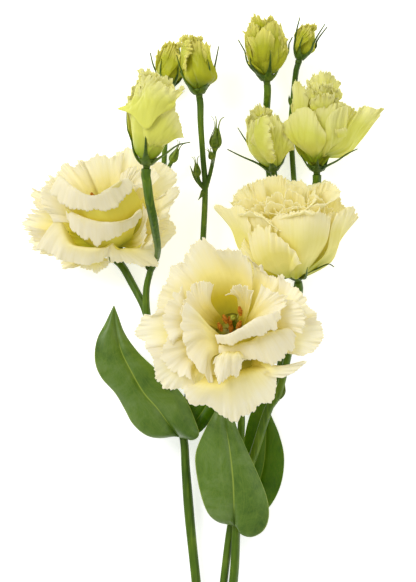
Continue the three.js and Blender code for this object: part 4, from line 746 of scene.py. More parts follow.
# Petals behind and inside are wrapped round the flower's axis. Each row has the side that a petal
# grows on (0 faces up, 90 right, 180 below), its track, half its breadth in mm, its seed, and how
# flat it lies round the axis. A track is the petal's side view: (distance from the axis, height).
BEHIND_RIGHT = [
    (20, [(1.6, 0), (8, 9), (12, 20), (15, 28), (20, 32)], 14, 61, 1.05),
    (74, [(1.6, 0), (8, 9), (12, 20), (16, 29), (22, 33)], 14, 62, 1.05),
    (128, [(1.6, 0), (8, 9), (13, 20), (17, 28.5), (23, 32)], 14, 63, 1.05),
    (-176, [(1.6, 0), (8, 9), (13, 20), (17, 28.5), (22, 33)], 15, 64, 1.05),
    (-120, [(1.6, 0), (8, 9), (13, 20), (17, 28.5), (22, 33)], 14, 65, 1.05),
    (-60, [(1.6, 0), (8, 9), (13, 20), (16, 29), (21, 33)], 14, 66, 1.05),
    (0, [(1.3, 0), (5, 10), (8, 20), (9, 28), (13, 32)], 11, 71),
    (50, [(1.3, 0), (5, 10), (8, 20), (10, 29), (15, 33)], 10, 77),
    (96, [(1.3, 0), (5, 10), (8, 20), (9, 28), (13, 33)], 11, 72),
    (150, [(1.3, 0), (5, 10), (8, 20), (10, 29), (14, 35)], 10, 78),
    (-165, [(1.3, 0), (5, 10), (8, 20), (9, 29), (13, 34)], 11, 73),
    (-105, [(1.3, 0), (5, 10), (8, 20), (9, 29), (14, 33)], 11, 74),
    (-50, [(1.3, 0), (5, 10), (8, 20), (9, 28), (13, 31)], 10, 79),
    (135, [(1.1, 0), (3, 10), (4, 19), (4, 27), (6, 32)], 7, 75),
    (-45, [(1.1, 0), (3, 10), (4, 19), (4, 27), (6, 32)], 7, 76),
]
RUFFLED = dict(outline=(0.12, 0.46, 0.86, 1.0), waves=(2.0, 1.5), pleats=(0.9, 2), frill=(0.6, 4),
               lobes=(0.9, 3), fringe=0.5, swirl=1.2, cols=59, rows=16)
CORES = {                           # the heart that the petals grow from: (radius, height)
    "centre": [(2.4, 0.3), (6.5, 6), (7, 9.5), (3, 11.5)],
    "left": [(2.4, 0.3), (7, 6), (7.5, 9.5), (3, 11.5)],
    "right": [(3, 0.3), (7, 4), (8, 9), (4, 12)],
}


def small_ruffle(seed, a, b, c, d, high):
    """A narrow petal that rises from the ruffles' foot and ends in a curled rim from (a, b) to (c, d)."""
    x, y, low = RUFFLE_FOOT
    half = lambda right, down, drop: (0.6 * right + 0.4 * x, down + 0.38 * (y - down),
                                      high - drop - 0.35 * (high - low))
    foot = [(x + 5, y, low), (x, y - 2, low), (x - 5, y, low)]
    middle = [half(a, b, 0), half((a + c) / 2, (b + d) / 2 - 4, 2), half(c, d, 0)]
    rim = [(a, b + 2), (0.7 * a + 0.3 * c, b - 5), (0.3 * a + 0.7 * c, d - 5), (c, d + 2)]
    return dict(seed=seed, waves=(1.8, 1.2), pleats=(0.7, 1.6), frill=(0.7, 3), fringe=0.6, cols=53, rows=19,
                lines=[foot, middle, [(*place, high) for place in rim]])


def draw(seed, place):
    """A repeatable value from 0 to 1 for a petal's seed and a place in its list of draws."""
    x = math.sin(seed * 12.9898 + place * 78.233) * 43758.5453
    return x - math.floor(x)


def petal_draws(seed):
    """A petal's own turns for its waves, pleats, folds and lobes."""
    return [2 * math.pi * draw(seed, k) for k in range(16)]


def track_reader(points, reach=1.25, steps=120):
    """A track by its share of length, continued straight past its end: shares, places and total length."""
    fine = curve_through(points, 160)
    length = np.linalg.norm(np.diff(fine, axis=0), axis=1).sum()
    shares = np.linspace(0, reach, steps)
    inside = np.linspace(0, 1, len(fine))
    place = np.stack([np.interp(shares, inside, fine[:, k]) for k in (0, 1)], 1)
    place += np.maximum(shares - 1, 0)[:, None] * length * unit(fine[-1] - fine[-3])
    return shares, place, length


def cut_margin(s, ph, lobes, fringe):
    """How far the margin reaches past the plain outline, in mm: scalloped lobes with finer teeth."""
    n = lobes[1] * math.pi
    scallop = lambda count, shift: np.abs(np.sin(count * s + shift + 1.1 * np.sin(3.3 * s + shift))) - 0.64
    cut = lobes[0] * (1.5 * scallop(n, ph[0]) + 0.6 * np.sin(1.7 * n * s + ph[14]))
    cut = cut * (0.7 + 0.3 * np.sin(4.3 * s + ph[15]))
    return cut + fringe * (1.1 * scallop(3.1 * n, ph[2]) + 0.6 * scallop(6.1 * n, ph[3]))


def ruffled(s, t, length, ph, waves, pleats, frill, crumple):
    """How far the blade stands off its plain shape, in mm: broad waves, pleats, a frilled rim and folds."""
    grow = lambda start, power: np.clip((t - start) / (1 - start), 0, 1) ** power
    bent = s + 0.08 * np.sin(3.1 * s + 2.5 * t + ph[11]) + 0.04 * np.sin(8 * s - 3 * t + ph[12])
    wavy = lambda count, a, b, scale: (0.7 * np.sin(count * math.pi * bent + a)
                                       + 0.45 * np.sin(scale * count * math.pi * s + b))
    fold = lambda a, b, shift: (1 - np.abs(np.sin(a * s + b * t + shift))) ** 2
    n = waves[1] * math.pi
    broad = 0.7 * np.sin(n * s + 1.5 * t + ph[4]) + 0.5 * np.sin(1.7 * n * s - 2 * t + ph[5])
    off = waves[0] * grow(0.2, 1.3) * (0.5 + 0.5 * s ** 2) * broad
    off = off + (pleats[0] * grow(max(0.3, 1 - 15 / length), 1.6)
                 * (0.5 + 0.5 * np.sin(2.3 * s + 3 * t + ph[7]))
                 * wavy(pleats[1] * (1 + 0.15 * t), ph[6], ph[8], 1.63))
    off = off + (frill[0] * grow(max(0.5, 1 - 6 / length), 1.1) * (0.55 + 0.45 * np.sin(5.1 * s + ph[13]))
                 * wavy(frill[1], ph[9], ph[10], 1.9))
    return off + crumple * grow(0.1, 0.6) * (
        fold(1.6, 2.4, ph[4]) - 0.8 * fold(2.3, -1.9, ph[6]) + 0.5 * fold(4.1, 3.3, ph[8])
        + 0.3 * fold(6.3, 5.1, ph[9]) - 0.25 * fold(8.9, -4.2, ph[10]))


def finished_petal(grid, s, t, seed):
    """Keeps a petal over the surface and gives it its thickness, its inner side first."""
    thick = (PETAL_THICK[0] + (PETAL_THICK[1] - PETAL_THICK[0]) * t) * np.ones_like(s)
    grid[..., 2] = np.maximum(grid[..., 2], thick / 2 + SEAT)
    return grid[:, ::-1], s[:, ::-1], t, thick, draw(seed, 9)


def blade_shares(rows):
    """Rows from the foot to the rim, closer together towards the rim."""
    k = np.linspace(0, 1, rows)[:, None]
    t = 1 - (1 - k) ** 1.4 * (1 - 0.15 * (1 - k))
    return 0.02 + 0.98 * (t - t[0]) / (t[-1] - t[0])


def laid_petal(flower, lines, seed, waves=(1.3, 1.4), pleats=(0.5, 3), frill=(0.6, 6), lobes=(0.9, 3.5),
               fringe=0.8, crumple=0.35, rooted=True, shade=(0, 1), cols=95, rows=22):
    """A petal's grid laid through lines across the blade. A rooted one starts at its flower's base;
    shade is the part of a whole petal's colours, from foot to rim, that it shows."""
    ph = petal_draws(seed)
    s, t = np.linspace(-1, 1, cols)[None, :], blade_shares(rows)
    net = [curve_through([from_view(*p) for p in line], cols) for line in lines]
    if rooted:
        net.insert(0, flower_base(flower) + PETAL_FOOT * unit(net[0] - flower_base(flower)))
    net = np.array(net)
    spans = np.concatenate([[0], np.cumsum(np.linalg.norm(np.diff(net, axis=0), axis=2).mean(1))])
    length = spans[-1]
    cut = cut_margin(s, ph, lobes, fringe)
    v = t * (1 + (cut - cut.max()) / length * t ** 3)
    x = np.interp(v, spans / length, np.arange(len(net)))
    i, j = np.clip(np.floor(x).astype(int), 0, len(net) - 2), np.arange(cols)[None, :]
    near = (net[np.clip(i + k, 0, len(net) - 1), j] for k in (-1, 0, 1, 2))
    grid = smooth_between(*near, (x - i)[..., None])
    normal = unit(np.cross(np.gradient(grid, axis=1), np.gradient(grid, axis=0)))
    grid = grid + normal * ruffled(s, t, length, ph, waves, pleats, frill, crumple)[..., None]
    return finished_petal(grid, s, shade[0] + (shade[1] - shade[0]) * t, seed)


def wrapped_petal(flower, phi, track, width, seed, cup=1.0, *, outline, waves, pleats, frill, lobes, fringe,
                  swirl, cols, rows, rim=(0.72, 0.93, 1.0, 0.93, 0.72), twist=0.0, crumple=0.0):
    """A petal's grid wrapped round its flower's axis along a track. outline is its breadth along it, rim
    how far its margin reaches, swirl how far one edge stands outside the other, twist how far it winds."""
    front, side, axis = flower_frame(flower)
    ph = petal_draws(seed)
    s, t = np.linspace(-1, 1, cols)[None, :], blade_shares(rows)
    shares, places, length = track_reader(track)
    reach = keyed(rim, (s + 1) / 2) + cut_margin(s, ph, lobes, fringe) / length
    v = t * (1 + (reach - 1) * t)
    read = lambda share, column: np.interp(share, shares, places[:, column])
    slope = np.arctan2(read(v + 0.01, 0) - read(v - 0.01, 0), read(v + 0.01, 1) - read(v - 0.01, 1))
    radius = read(v, 0) + swirl * s * np.minimum(1, t * 3)
    rho = np.maximum(np.abs(radius) * cup, 1.5)
    turn = np.clip(s * width * keyed(outline, t) / rho, -3, 3)
    off = ruffled(s, t, length, ph, waves, pleats, frill, crumple)
    about = math.radians(phi) + math.radians(twist) * t
    out = lambda angle: np.cos(angle)[..., None] * front + np.sin(angle)[..., None] * side
    edge, middle = out(about + turn), out(about + 0 * s)
    normal = edge * np.cos(slope)[..., None] - axis * np.sin(slope)[..., None]
    grid = (flower_base(flower) + axis * read(v, 1)[..., None] + middle * (radius - rho)[..., None]
            + edge * rho[..., None] + normal * off[..., None])
    return finished_petal(grid, s, t, seed)


def petal_skin(name, foot, throat, blade, rim, outer, roughness=0.5, painted_fill_glow=0.1, deep=(0.2, 0.46)):
    """Satin petal: foot to rim along the blade, fine veins that fan out, a greener outer face, and a faint
    even yellow glow: painted light for the light that passes through the petals into their shade.
    """
    surface, node, coated = shader(name, roughness, 0.12, 0.3, (0.004, 0.0036, 0.002))
    # a faint even yellow emission on every petal: painted light that stands in for light passing through the
    # petals and fills their shade with yellow
    surface.inputs["Emission Color"].default_value = (0.92, 0.78, 0.08, 1)
    surface.inputs["Emission Strength"].default_value = painted_fill_glow
    place = node("ShaderNodeAttribute", attribute_name="blade").outputs["Vector"]
    inner = node("ShaderNodeAttribute", attribute_name="inner").outputs["Fac"]
    along = node("ShaderNodeSeparateXYZ", {0: place}).outputs[1]
    blotch = noise(node, object_place(node), 120)
    uneven = node("ShaderNodeMath", {0: blotch, 1: 0.16, 2: along}, operation="MULTIPLY_ADD").outputs[0]
    # the darker foot and throat tones low on the blade are partly the petal's own yellow-green base and
    # partly painted shade for the deep hollows between petals
    inside = ramp(node, uneven, (deep[0], foot), (deep[1], throat), (0.76, blade), (0.98, rim))
    outside = ramp(node, uneven, (deep[0], foot), (deep[1], outer), (0.8, outer), (1.0, rim))
    vein = noise(node, stretched(node, place, (20, 0.8, 37)), 1, Roughness=0.6)
    shade = ramp(node, vein, (0.36, (0.96, 0.94, 0.82)), (0.6, (1, 1, 1)))
    return coated(mixed(node, 0.45, mixed(node, inner, outside, inside), shade, "MULTIPLY"), vein, 0.08)


def outward(name, degrees):
    """The direction from a flower's axis to a side: 0 faces up, 90 right, 180 below."""
    front, side, _ = flower_frame(name)
    return math.cos(math.radians(degrees)) * front + math.sin(math.radians(degrees)) * side


def turned_rings(flower, profile, sides=24):
    """Rings of a body turned on a flower's axis, its profile in (radius, height)."""
    around = np.array([outward(flower, 360 * k / sides) for k in range(sides)])
    axis = flower_frame(flower)[2]
    return np.array([flower_base(flower) + axis * h + around * r for r, h in profile])


LAID = {"centre": LAID_CENTRE, "left": LAID_LEFT, "right": LAID_RIGHT + [
    small_ruffle(80 + k, *ends) for k, ends in enumerate(INNER_RUFFLES)]}
# deep sets how far up the blade the darker foot and throat tones reach: partly the petals' own colour,
# partly painted shade in their hollows
BLOOM_SKINS = {
    "centre": petal_skin("cream_petal", (0.15, 0.14, 0.003), (0.42, 0.31, 0.01), (0.82, 0.7, 0.28),
                         (0.85, 0.785, 0.58), (0.72, 0.62, 0.1), deep=(0.26, 0.5)),
    "left": petal_skin("pale_cream_petal", (0.24, 0.3, 0.005), (0.55, 0.47, 0.018), (0.82, 0.71, 0.3),
                       (0.85, 0.785, 0.58), (0.7, 0.6, 0.085), deep=(0.36, 0.6)),
    "right": petal_skin("green_cream_petal", (0.3, 0.34, 0.01), (0.62, 0.54, 0.03), (0.79, 0.7, 0.2),
                        (0.85, 0.78, 0.46), (0.77, 0.7, 0.23), deep=(0.3, 0.6)),
}
heart_green = sepal_skin("heart_green", (0.12, 0.13, 0.008), (0.22, 0.21, 0.012), (0.34, 0.3, 0.02))
for name, petals in LAID.items():
    finish = "green_petal" if name == "right" else "cream_petal"
    blades = [laid_petal(name, **petal) for petal in petals]
    if name == "right":
        blades += [wrapped_petal(name, *petal, **RUFFLED) for petal in BEHIND_RIGHT]
    placed(closed_sheets(f"{name}_bloom", blades, BLOOM_SKINS[name]), finish, f"{name}_petals")
    profile = [(0.01, CORES[name][0][1])] + CORES[name] + [(0.01, CORES[name][-1][1])]
    placed(skin_of_rings(f"{name}_heart", [turned_rings(name, profile)], heart_green), finish)


# ------------------------------------------------------------------ stamens and pistils
# In the open throats stand thin green filaments, each with a long orange-brown anther that
# rocks on its tip, round a green ovary with a thick style and a two-lobed stigma.

STAMENS = {                         # filament length in mm, and where the anthers stand in the view
    "centre": (12, [(220, 327, 51), (225, 319, 52), (230, 321, 50), (240, 311, 54), (239, 325, 52),
                    (231, 328, 48)]),
    "left": (14, [(93, 197, 32), (99, 203, 28), (104, 202, 27), (88, 203, 28), (97, 203, 26)]),
}
FILAMENT_ROOT = 8                   # height over the flower's base that the filaments lean away from, mm
FILAMENT_RADII = (0.5, 0.4, 0.3)    # at the foot, the middle and the tip, mm
ANTHER_LENGTH, ANTHER_RADII = 3.8, (0.6, 1.05, 0.5)
ROD_SIDES, ROD_STEPS = 12, 13
HEART_TOP = 10.8                    # height of the pistil's foot over the flower's base
OVARY = [(0.01, 0), (1.5, 0.3), (1.7, 1.4), (1.3, 2.6), (0.7, 3.6), (0.55, 5), (0.8, 5.6)]
STIGMA = [(0.3, 5.5), (1.2, 5.8), (1.35, 6.4), (0.8, 7), (0.01, 7.2)]


def stamen_tree():
    """Geometry nodes: one turned rod on every point, along the point's own direction."""
    node, given, ended = new_tree("stamens", "Length", "Foot radius", "Middle radius", "Tip radius", "Skin")
    tip = node("ShaderNodeCombineXYZ", Z=given["Length"])
    line = node("GeometryNodeCurvePrimitiveLine", End=tip.outputs[0])
    steps = node("GeometryNodeResampleCurve", Curve=line.outputs[0], Count=ROD_STEPS)
    along = node("GeometryNodeSplineParameter").outputs["Factor"]
    lower = node("ShaderNodeMapRange", {"Value": along, "From Max": 0.5, "To Min": given["Foot radius"],
                                        "To Max": given["Middle radius"]})
    upper = node("ShaderNodeMapRange", {"Value": along, "From Min": 0.5, "To Min": lower.outputs[0],
                                        "To Max": given["Tip radius"]}, interpolation_type="SMOOTHSTEP")
    girth = node("GeometryNodeSetCurveRadius", Curve=steps.outputs[0], Radius=upper.outputs[0])
    ring = node("GeometryNodeCurvePrimitiveCircle", Resolution=ROD_SIDES, Radius=1)
    aim = node("GeometryNodeInputNamedAttribute", data_type="FLOAT_VECTOR", Name="aim")
    turn = node("FunctionNodeAlignRotationToVector", axis="Z", Vector=aim.outputs[0])
    return ended(node("GeometryNodeInstanceOnPoints", Points=given["Geometry"], Rotation=turn.outputs[0],
                      Instance=swept(node, girth.outputs[0], ring.outputs[0]).outputs[0]))


def rods_on(name, feet, aims, skin, length, radii):
    """One rod for each foot, as a plain mesh."""
    mesh = bpy.data.meshes.new("feet")
    mesh.from_pydata(frame_metres(feet).tolist(), [], [])
    mesh.attributes.new("aim", "FLOAT_VECTOR", "POINT").data.foreach_set("vector", np.asarray(aims).ravel())
    foot, middle, tip = (r / 1000 for r in radii)
    return grown(name, bpy.data.objects.new("feet", mesh), rod_tree, Length=length / 1000, Foot_radius=foot,
                 Middle_radius=middle, Tip_radius=tip, Skin=skin)


def powder_skin(name, dark, light):
    """Matt, slightly grainy finish of anthers, filaments and stigmas."""
    surface, node, coated = shader(name, 0.7, 0.2, 0.15)
    grain = noise(node, object_place(node), 1500)
    return coated(ramp(node, grain, (0.35, dark), (0.65, light)), grain, 0.5, 0.0001)


rod_tree = stamen_tree()
filament_green = powder_skin("filament_green", (0.35, 0.37, 0.06), (0.52, 0.52, 0.12))
anther_orange = powder_skin("anther_orange", (0.3, 0.09, 0.006), (0.55, 0.22, 0.015))
ovary_green = sepal_skin("ovary_green", (0.07, 0.12, 0.008), (0.13, 0.2, 0.012), (0.24, 0.32, 0.03))
stigma_yellow = powder_skin("stigma_yellow", (0.22, 0.25, 0.02), (0.42, 0.42, 0.05))
for name, (reach, tips) in STAMENS.items():
    tops = np.array([from_view(*tip) for tip in tips])
    aims = unit(tops - flower_base(name) - flower_frame(name)[2] * FILAMENT_ROOT)
    rock = unit(np.array([(0.9 * (draw(k, 2) - 0.5), 1, 0.4) for k in range(len(tips))]))
    placed(rods_on(f"{name}_filaments", tops - aims * reach, aims, filament_green, reach, FILAMENT_RADII),
           "orange_anther", f"{name}_stamens")
    placed(rods_on(f"{name}_anthers", tops - rock * ANTHER_LENGTH / 2, rock, anther_orange, ANTHER_LENGTH,
                   ANTHER_RADII), "orange_anther")
    ovary, stigma = ([turned_rings(name, [(r, h + HEART_TOP) for r, h in body])] for body in (OVARY, STIGMA))
    placed(skin_of_rings(f"{name}_ovary", ovary, ovary_green), "green_pistil", f"{name}_pistil")
    placed(skin_of_rings(f"{name}_stigma", stigma, stigma_yellow), "green_pistil")


# ------------------------------------------------------------------ petals of the buds
# Seven large buds: their petals are still wound round each other like a rolled flag, so each
# free margin shows as a slanting fringed step. They are lime green, paler at the tips, and
# the most advanced bud already lets its petals stand off.

# The wound petals of each bud, then the ones of its crown: side, track, half breadth, seed and what
# else differs from the other ones of their kind.
BUDS = {
    "bud_front": ([
        (150, [(1.6, 0), (4.6, 3), (6.6, 9), (8, 18), (7, 30)], 12, 100),
        (-75, [(1.7, 0), (4.8, 3), (6.6, 9), (8, 18), (6, 31)], 12, 102),
        (60, [(1.7, 0), (4.8, 3), (7, 9), (9, 16), (10, 25)], 10, 101)], [
        (-60, [(1.5, 16), (3.4, 25), (4, 31), (5, 36)], 6, 106),
        (25, [(1.5, 14), (5, 21), (7, 28), (9.4, 34)], 9, 107),
        (80, [(1.5, 12), (6.4, 19), (9.6, 25), (12.6, 30)], 9, 108),
        (-10, [(0.8, 16), (2.6, 23), (5, 30), (7.4, 36)], 8, 109),
        (50, [(0.8, 16), (4, 23), (7, 28), (10, 30)], 5, 99)]),
    "bud_middle": ([
        (150, [(1.5, 0), (3.8, 2.8), (6, 6.4), (5.2, 12.4), (3.2, 20)], 9, 110),
        (30, [(1.5, 0), (4, 2.8), (6.2, 6.4), (5.2, 12.4), (2.6, 19)], 8, 111),
        (-80, [(1.6, 0), (4, 2.8), (6.2, 6.8), (5.8, 12.4), (4.2, 20)], 8, 112),
        (80, [(1.6, 0), (4.4, 2.8), (7, 5.8), (6.2, 10.6), (3.8, 16.6)], 8, 113, dict(twist=30))], [
        (-30, [(1, 12), (2, 16.5), (3, 20), (4.4, 22.4)], 5, 114),
        (70, [(1, 12), (2, 16), (2.4, 19), (3.6, 21)], 5, 115),
        (-110, [(1, 12), (2.4, 16.5), (3.6, 19.4), (5.2, 21.2)], 5, 116)]),
    "bud_back": ([
        (150, [(1.2, 0), (3, 2.5), (4.6, 6.5), (3.6, 12), (2, 17)], 6.5, 120),
        (30, [(1.3, 0), (3.2, 2.5), (4.9, 6.5), (4, 12), (2.4, 16.5)], 6.5, 121),
        (-80, [(1.3, 0), (3.2, 2.5), (4.9, 6.5), (4, 12), (2.4, 17)], 6.5, 122)], [
        (0, [(0.8, 9), (1.8, 13), (2.4, 16), (3.6, 18)], 4, 123),
        (100, [(0.8, 9), (2, 13), (3, 16), (4.6, 17.5)], 4, 124)]),
    "bud_top": ([
        (150, [(1.5, 0), (4, 3), (6.4, 8), (6.4, 15), (4.4, 23)], 9, 130),
        (66, [(1.6, 0), (4.2, 3), (7, 8), (7.6, 13), (6, 20.5)], 8, 131, dict(twist=30)),
        (-20, [(1.6, 0), (4.4, 3), (7, 8), (7, 14), (4.4, 22)], 9, 132),
        (-92, [(1.6, 0), (4.6, 3), (6.6, 8), (6.4, 14), (6, 20)], 8, 133, dict(twist=-20)),
        (-66, [(1.7, 0), (4.6, 3), (6.8, 6), (7, 10), (6.2, 14)], 6, 134, dict(twist=-30)),
        (10, [(1.7, 0), (5, 3), (7.6, 7), (7.8, 11), (7, 16)], 5, 135, dict(twist=40))], [
        (-40, [(1, 12), (3, 18), (4, 22), (5.6, 25)], 5, 136),
        (60, [(1, 12), (2.2, 18), (2.6, 22), (3.4, 24)], 4, 137),
        (-100, [(1, 12), (3, 17), (4, 20), (5.6, 21)], 5, 138)]),
    "bud_tip": ([
        (150, [(1.1, 0), (2.8, 2), (3.5, 5), (2.6, 9), (1.3, 12.5)], 3.8, 140, dict(frill=(0.5, 5))),
        (30, [(1.2, 0), (3, 2), (3.7, 5), (2.8, 9), (1.6, 12)], 3.8, 141, dict(frill=(0.5, 5))),
        (-80, [(1.2, 0), (3, 2), (3.7, 5), (2.7, 9), (1.5, 12.5)], 3.8, 142, dict(frill=(0.5, 5)))], [
        (40, [(0.5, 7), (1.4, 10), (2, 12), (2.8, 13.4)], 3, 143)]),
    "bud_low": ([
        (150, [(1.5, 0), (4.2, 3), (6.6, 8), (6.4, 15), (4.6, 23)], 9, 150),
        (60, [(1.6, 0), (4.4, 3), (7, 8), (6.8, 14), (6, 20)], 9, 151, dict(twist=30)),
        (-60, [(1.7, 0), (4.8, 3), (8.2, 8), (7.6, 13), (4.6, 20)], 9, 152,
         dict(twist=20, rim=(0.9, 1.0, 1.0, 0.9, 0.8))),
        (20, [(1.6, 0), (4.4, 3), (7.4, 8), (7.4, 13), (6.6, 18)], 7, 153, dict(twist=40))], [
        (-80, [(1, 11), (2.6, 17), (3, 21), (4, 24)], 5, 154),
        (40, [(1, 11), (2.4, 17), (3.4, 21), (5, 23)], 5, 155),
        (-10, [(0.6, 11), (1.8, 18), (2.6, 22), (3.8, 26)], 5, 156)]),
    "bud_open": ([
        (-170, [(1.8, 0), (7, 6), (9, 15), (9.6, 23), (10, 29)], 14, 160, dict(twist=10))], [
        (180, [(1.2, 4), (4, 12), (5, 22), (4.6, 31), (6.4, 37)], 8, 168),
        (-130, [(0.8, 8), (2.4, 18), (3, 28), (5, 34)], 6, 173),
        (130, [(0.8, 8), (2.4, 18), (3, 28), (5, 34)], 6, 174)]),
}
LAID_BUDS = {                       # the petals of the buds that stand off, laid as in the blooms
    "bud_front": [
        # lower right, with a lobe
        dict(seed=104, frill=(0.8, 8), lobes=(0.6, 4), fringe=0.7, pleats=(0.8, 3), crumple=1.3, lines=[
            [(140, 150, 48), (148, 152, 50), (157, 149, 48)],
            [(134, 130, 51), (147, 130, 58), (162, 138, 58), (171, 142, 54)],
            [(130, 112, 49), (142, 106, 55), (156, 102, 59), (168, 102, 59), (177, 110, 57),
             (182, 122, 55), (185, 137, 52)]]),
        # wound over it, with a tip at the left
        dict(seed=105, rooted=False, shade=(0.5, 1), frill=(1.2, 6), lobes=(1.0, 4), fringe=1.2,
             waves=(0.9, 1.5), pleats=(0.9, 3.5), crumple=1.9, lines=[
            [(117, 109, 50), (131, 115, 56), (146, 130, 60), (158, 117, 62), (171, 109, 60)],
            [(128, 104, 51), (138, 103, 58), (150, 107, 62), (160, 102, 63), (175, 104, 61)],
            [(137, 90, 51), (145, 88, 59), (154, 90, 62), (163, 92, 63), (178, 98, 61)],
            [(141, 70, 51), (148, 72, 57), (155, 74, 60), (162, 81, 62), (172, 86, 62), (183, 91, 59)]]),
    ],
    "bud_middle": [
        dict(seed=117, rooted=False, shade=(0.5, 0.94), frill=(0.3, 6), fringe=1.1, lobes=(0.7, 5),
             crumple=0.5, lines=[  # left, its fringed margin down the middle
            [(184, 42, 21), (181, 52, 20), (180.5, 62, 20), (182, 71, 20)],
            [(187, 40, 25), (186, 50, 26.5), (185, 60, 26.5), (185, 69, 25)],
            [(191, 40, 27), (194, 48, 28.5), (189.5, 56, 29), (188.5, 63, 28.5), (187, 71, 26)]]),
        dict(seed=118, frill=(1.0, 6), crumple=0.7, lines=[  # near right, with a lobe
            [(196, 87, 19), (200, 88, 20.5), (204, 87, 19)],
            [(187, 74, 23), (198, 74, 27), (210, 77, 25), (217, 78, 20)],
            [(191, 58, 24), (198, 57, 27), (210, 60, 23)], [(191, 44, 23), (197, 38, 25), (205, 43, 23)]]),
    ],
    "bud_top": [
        dict(seed=127, frill=(0.7, 6), fringe=0.5, crumple=0.5, lines=[  # right
            [(268, 69, 16), (269, 69, 15), (270, 69, 15)], [(269, 40, 20), (276, 50, 20), (277, 62, 17)],
            [(275, 22, 19), (281, 27, 18), (287, 40, 17), (285, 53, 16)]]),
        dict(seed=128, frill=(0.5, 6), crumple=1.0, fringe=0.4, lobes=(0.6, 3), lines=[  # near
            [(263, 69, 15), (266, 70, 16.5), (269, 69, 15)], [(256, 57, 20), (265, 54, 24), (279, 58, 20)],
            [(257, 40, 21), (263, 27, 24), (271, 31, 25), (277, 40, 22), (281, 49, 19)]]),
        dict(seed=129, frill=(0.8, 7), fringe=0.9, crumple=0.5, lines=[  # left, frilled down to its end
            [(263, 70, 15), (264, 69, 16), (265, 69, 16)], [(254, 66, 18), (257, 53, 23), (261, 40, 23)],
            [(246, 63, 15), (249, 50, 18), (249, 38, 19), (252, 27, 21), (258, 23, 22)]]),
        # a short one between them
        dict(seed=170, rooted=False, shade=(0.6, 1), frill=(0.7, 4), crumple=0.5, cols=61, rows=17, lines=[
            [(249, 46, 18), (254, 46, 20), (260, 44, 21)], [(247, 37, 19), (252, 35, 21.5), (259, 33, 22)],
            [(245, 30, 19), (249, 25, 21.5), (254, 22, 22.5), (260, 25, 22)]]),
    ],
    "bud_low": [
        dict(seed=148, frill=(1.0, 6), fringe=0.9, crumple=0.9, lines=[  # right
            [(276, 166, 12.5), (278, 166, 12.5), (280, 165, 12)],
            [(268, 150, 19), (279, 149, 21), (287, 153, 17)],
            [(268, 116, 22), (274, 112, 23), (279, 120, 22), (286, 130, 20), (292, 140, 18),
             (292, 149, 16)]]),
        dict(seed=149, crumple=0.9, lines=[  # near left, folded to a point
            [(273, 166, 11.5), (275, 167, 13), (277, 167, 13)],
            [(257, 157, 15), (266, 152, 22), (276, 153, 22)],
            [(252, 148, 17), (262, 134, 23), (274, 132, 25)],
            [(250, 146, 17), (254, 133, 20), (257, 121, 22), (263, 114, 24), (269, 118, 25),
             (275, 127, 25)]]),
        # its free margin down the middle
        dict(seed=147, rooted=False, shade=(0.5, 0.95), frill=(0.4, 5), lobes=(0.5, 4), crumple=0.8, lines=[
            [(256, 120, 21), (254, 133, 22), (258, 148, 22), (268, 162, 18)],
            [(264, 116, 24), (265, 132, 26), (268, 147, 26), (273, 163, 20)],
            [(271, 117, 25), (272, 131, 27.5), (275, 146, 27), (277, 162, 20)]]),
    ],
    "bud_open": [
        # the long petal that flares right
        dict(seed=161, lobes=(0.5, 3), waves=(1.2, 1.6), crumple=0.8, lines=[
            [(319, 157, 16), (321, 157, 14), (321, 158, 12)],
            [(336, 144, 22), (346, 148, 19), (345, 155, 13)],
            [(348, 126, 25), (360, 127, 21), (363, 136, 15)],
            [(360, 109, 24), (367, 105, 22), (376, 108, 20), (385, 107, 19), (379, 114, 17)]]),
        dict(seed=162, frill=(0.6, 7), lines=[  # behind it
            [(322, 158, 13), (322, 156, 11), (320, 154, 11)],
            [(345, 135, 14), (342, 128, 13), (334, 124, 13)],
            [(361, 118, 15), (357, 110, 15), (348, 104, 15), (338, 101, 16)]]),
        dict(seed=163, frill=(0.7, 8), lobes=(0.5, 4), waves=(0.9, 1.6), crumple=1.0, lines=[  # near right
            [(314, 157, 16), (317, 158, 17), (321, 156, 15)],
            [(313, 136, 23), (326, 134, 27), (342, 139, 23)],
            [(312, 112, 25), (320, 106, 27), (332, 103, 28), (341, 101, 27), (346, 103, 24),
             (349, 118, 22)]]),
        # near left, with a lobe
        dict(seed=164, frill=(0.5, 8), lobes=(0.4, 4), fringe=0.4, waves=(0.8, 1.6), crumple=0.7, lines=[
            [(311, 157, 15), (314, 158, 16.5), (317, 157, 16.5)],
            [(293, 141, 20), (307, 141, 28), (325, 144, 27)],
            [(281, 125, 18), (290, 115, 22), (298, 108, 26), (306, 106, 28), (314, 111, 29),
             (319, 122, 30), (326, 133, 29)]]),
        dict(seed=165, rooted=False, shade=(0.45, 0.95), frill=(0.3, 4), lobes=(0.3, 3), fringe=0.3,
             waves=(0.4, 1.2), crumple=0.6, cols=61, rows=17, lines=[  # the margin that rolls over it
            [(321, 157, 15), (324, 157, 15), (329, 154, 14)],
            [(325.5, 140, 27.6), (331, 138, 28.6), (342, 139, 24)],
            [(326, 122, 29), (333, 119, 30), (346, 121, 26)],
            [(331, 113, 29), (338, 108, 29.6), (347, 105, 26)]]),
        dict(seed=166, rooted=False, shade=(0.6, 1), frill=(0.5, 3), lobes=(0.5, 2), fringe=0.3,
             waves=(0.5, 1), cols=41, rows=13, lines=[  # its curled corner
            [(336, 138, 26), (341, 138, 27), (346, 136, 26)],
            [(333, 133, 28.6), (340, 131, 29.6), (347, 130, 28)],
            [(332, 128, 28), (338, 129, 30.6), (344, 126, 29.6)]]),
        dict(seed=159, frill=(1.0, 6), fringe=0.9, crumple=0.5, lines=[  # the fringed wing at the left
            [(310, 156, 16), (307, 155, 14), (307, 157, 12)],
            [(306, 122, 20), (299, 124, 18), (295, 130, 15)],
            [(310, 90, 21), (303, 84, 19), (295, 78, 17), (293, 92, 16), (291, 106, 16)]]),
    ],
}
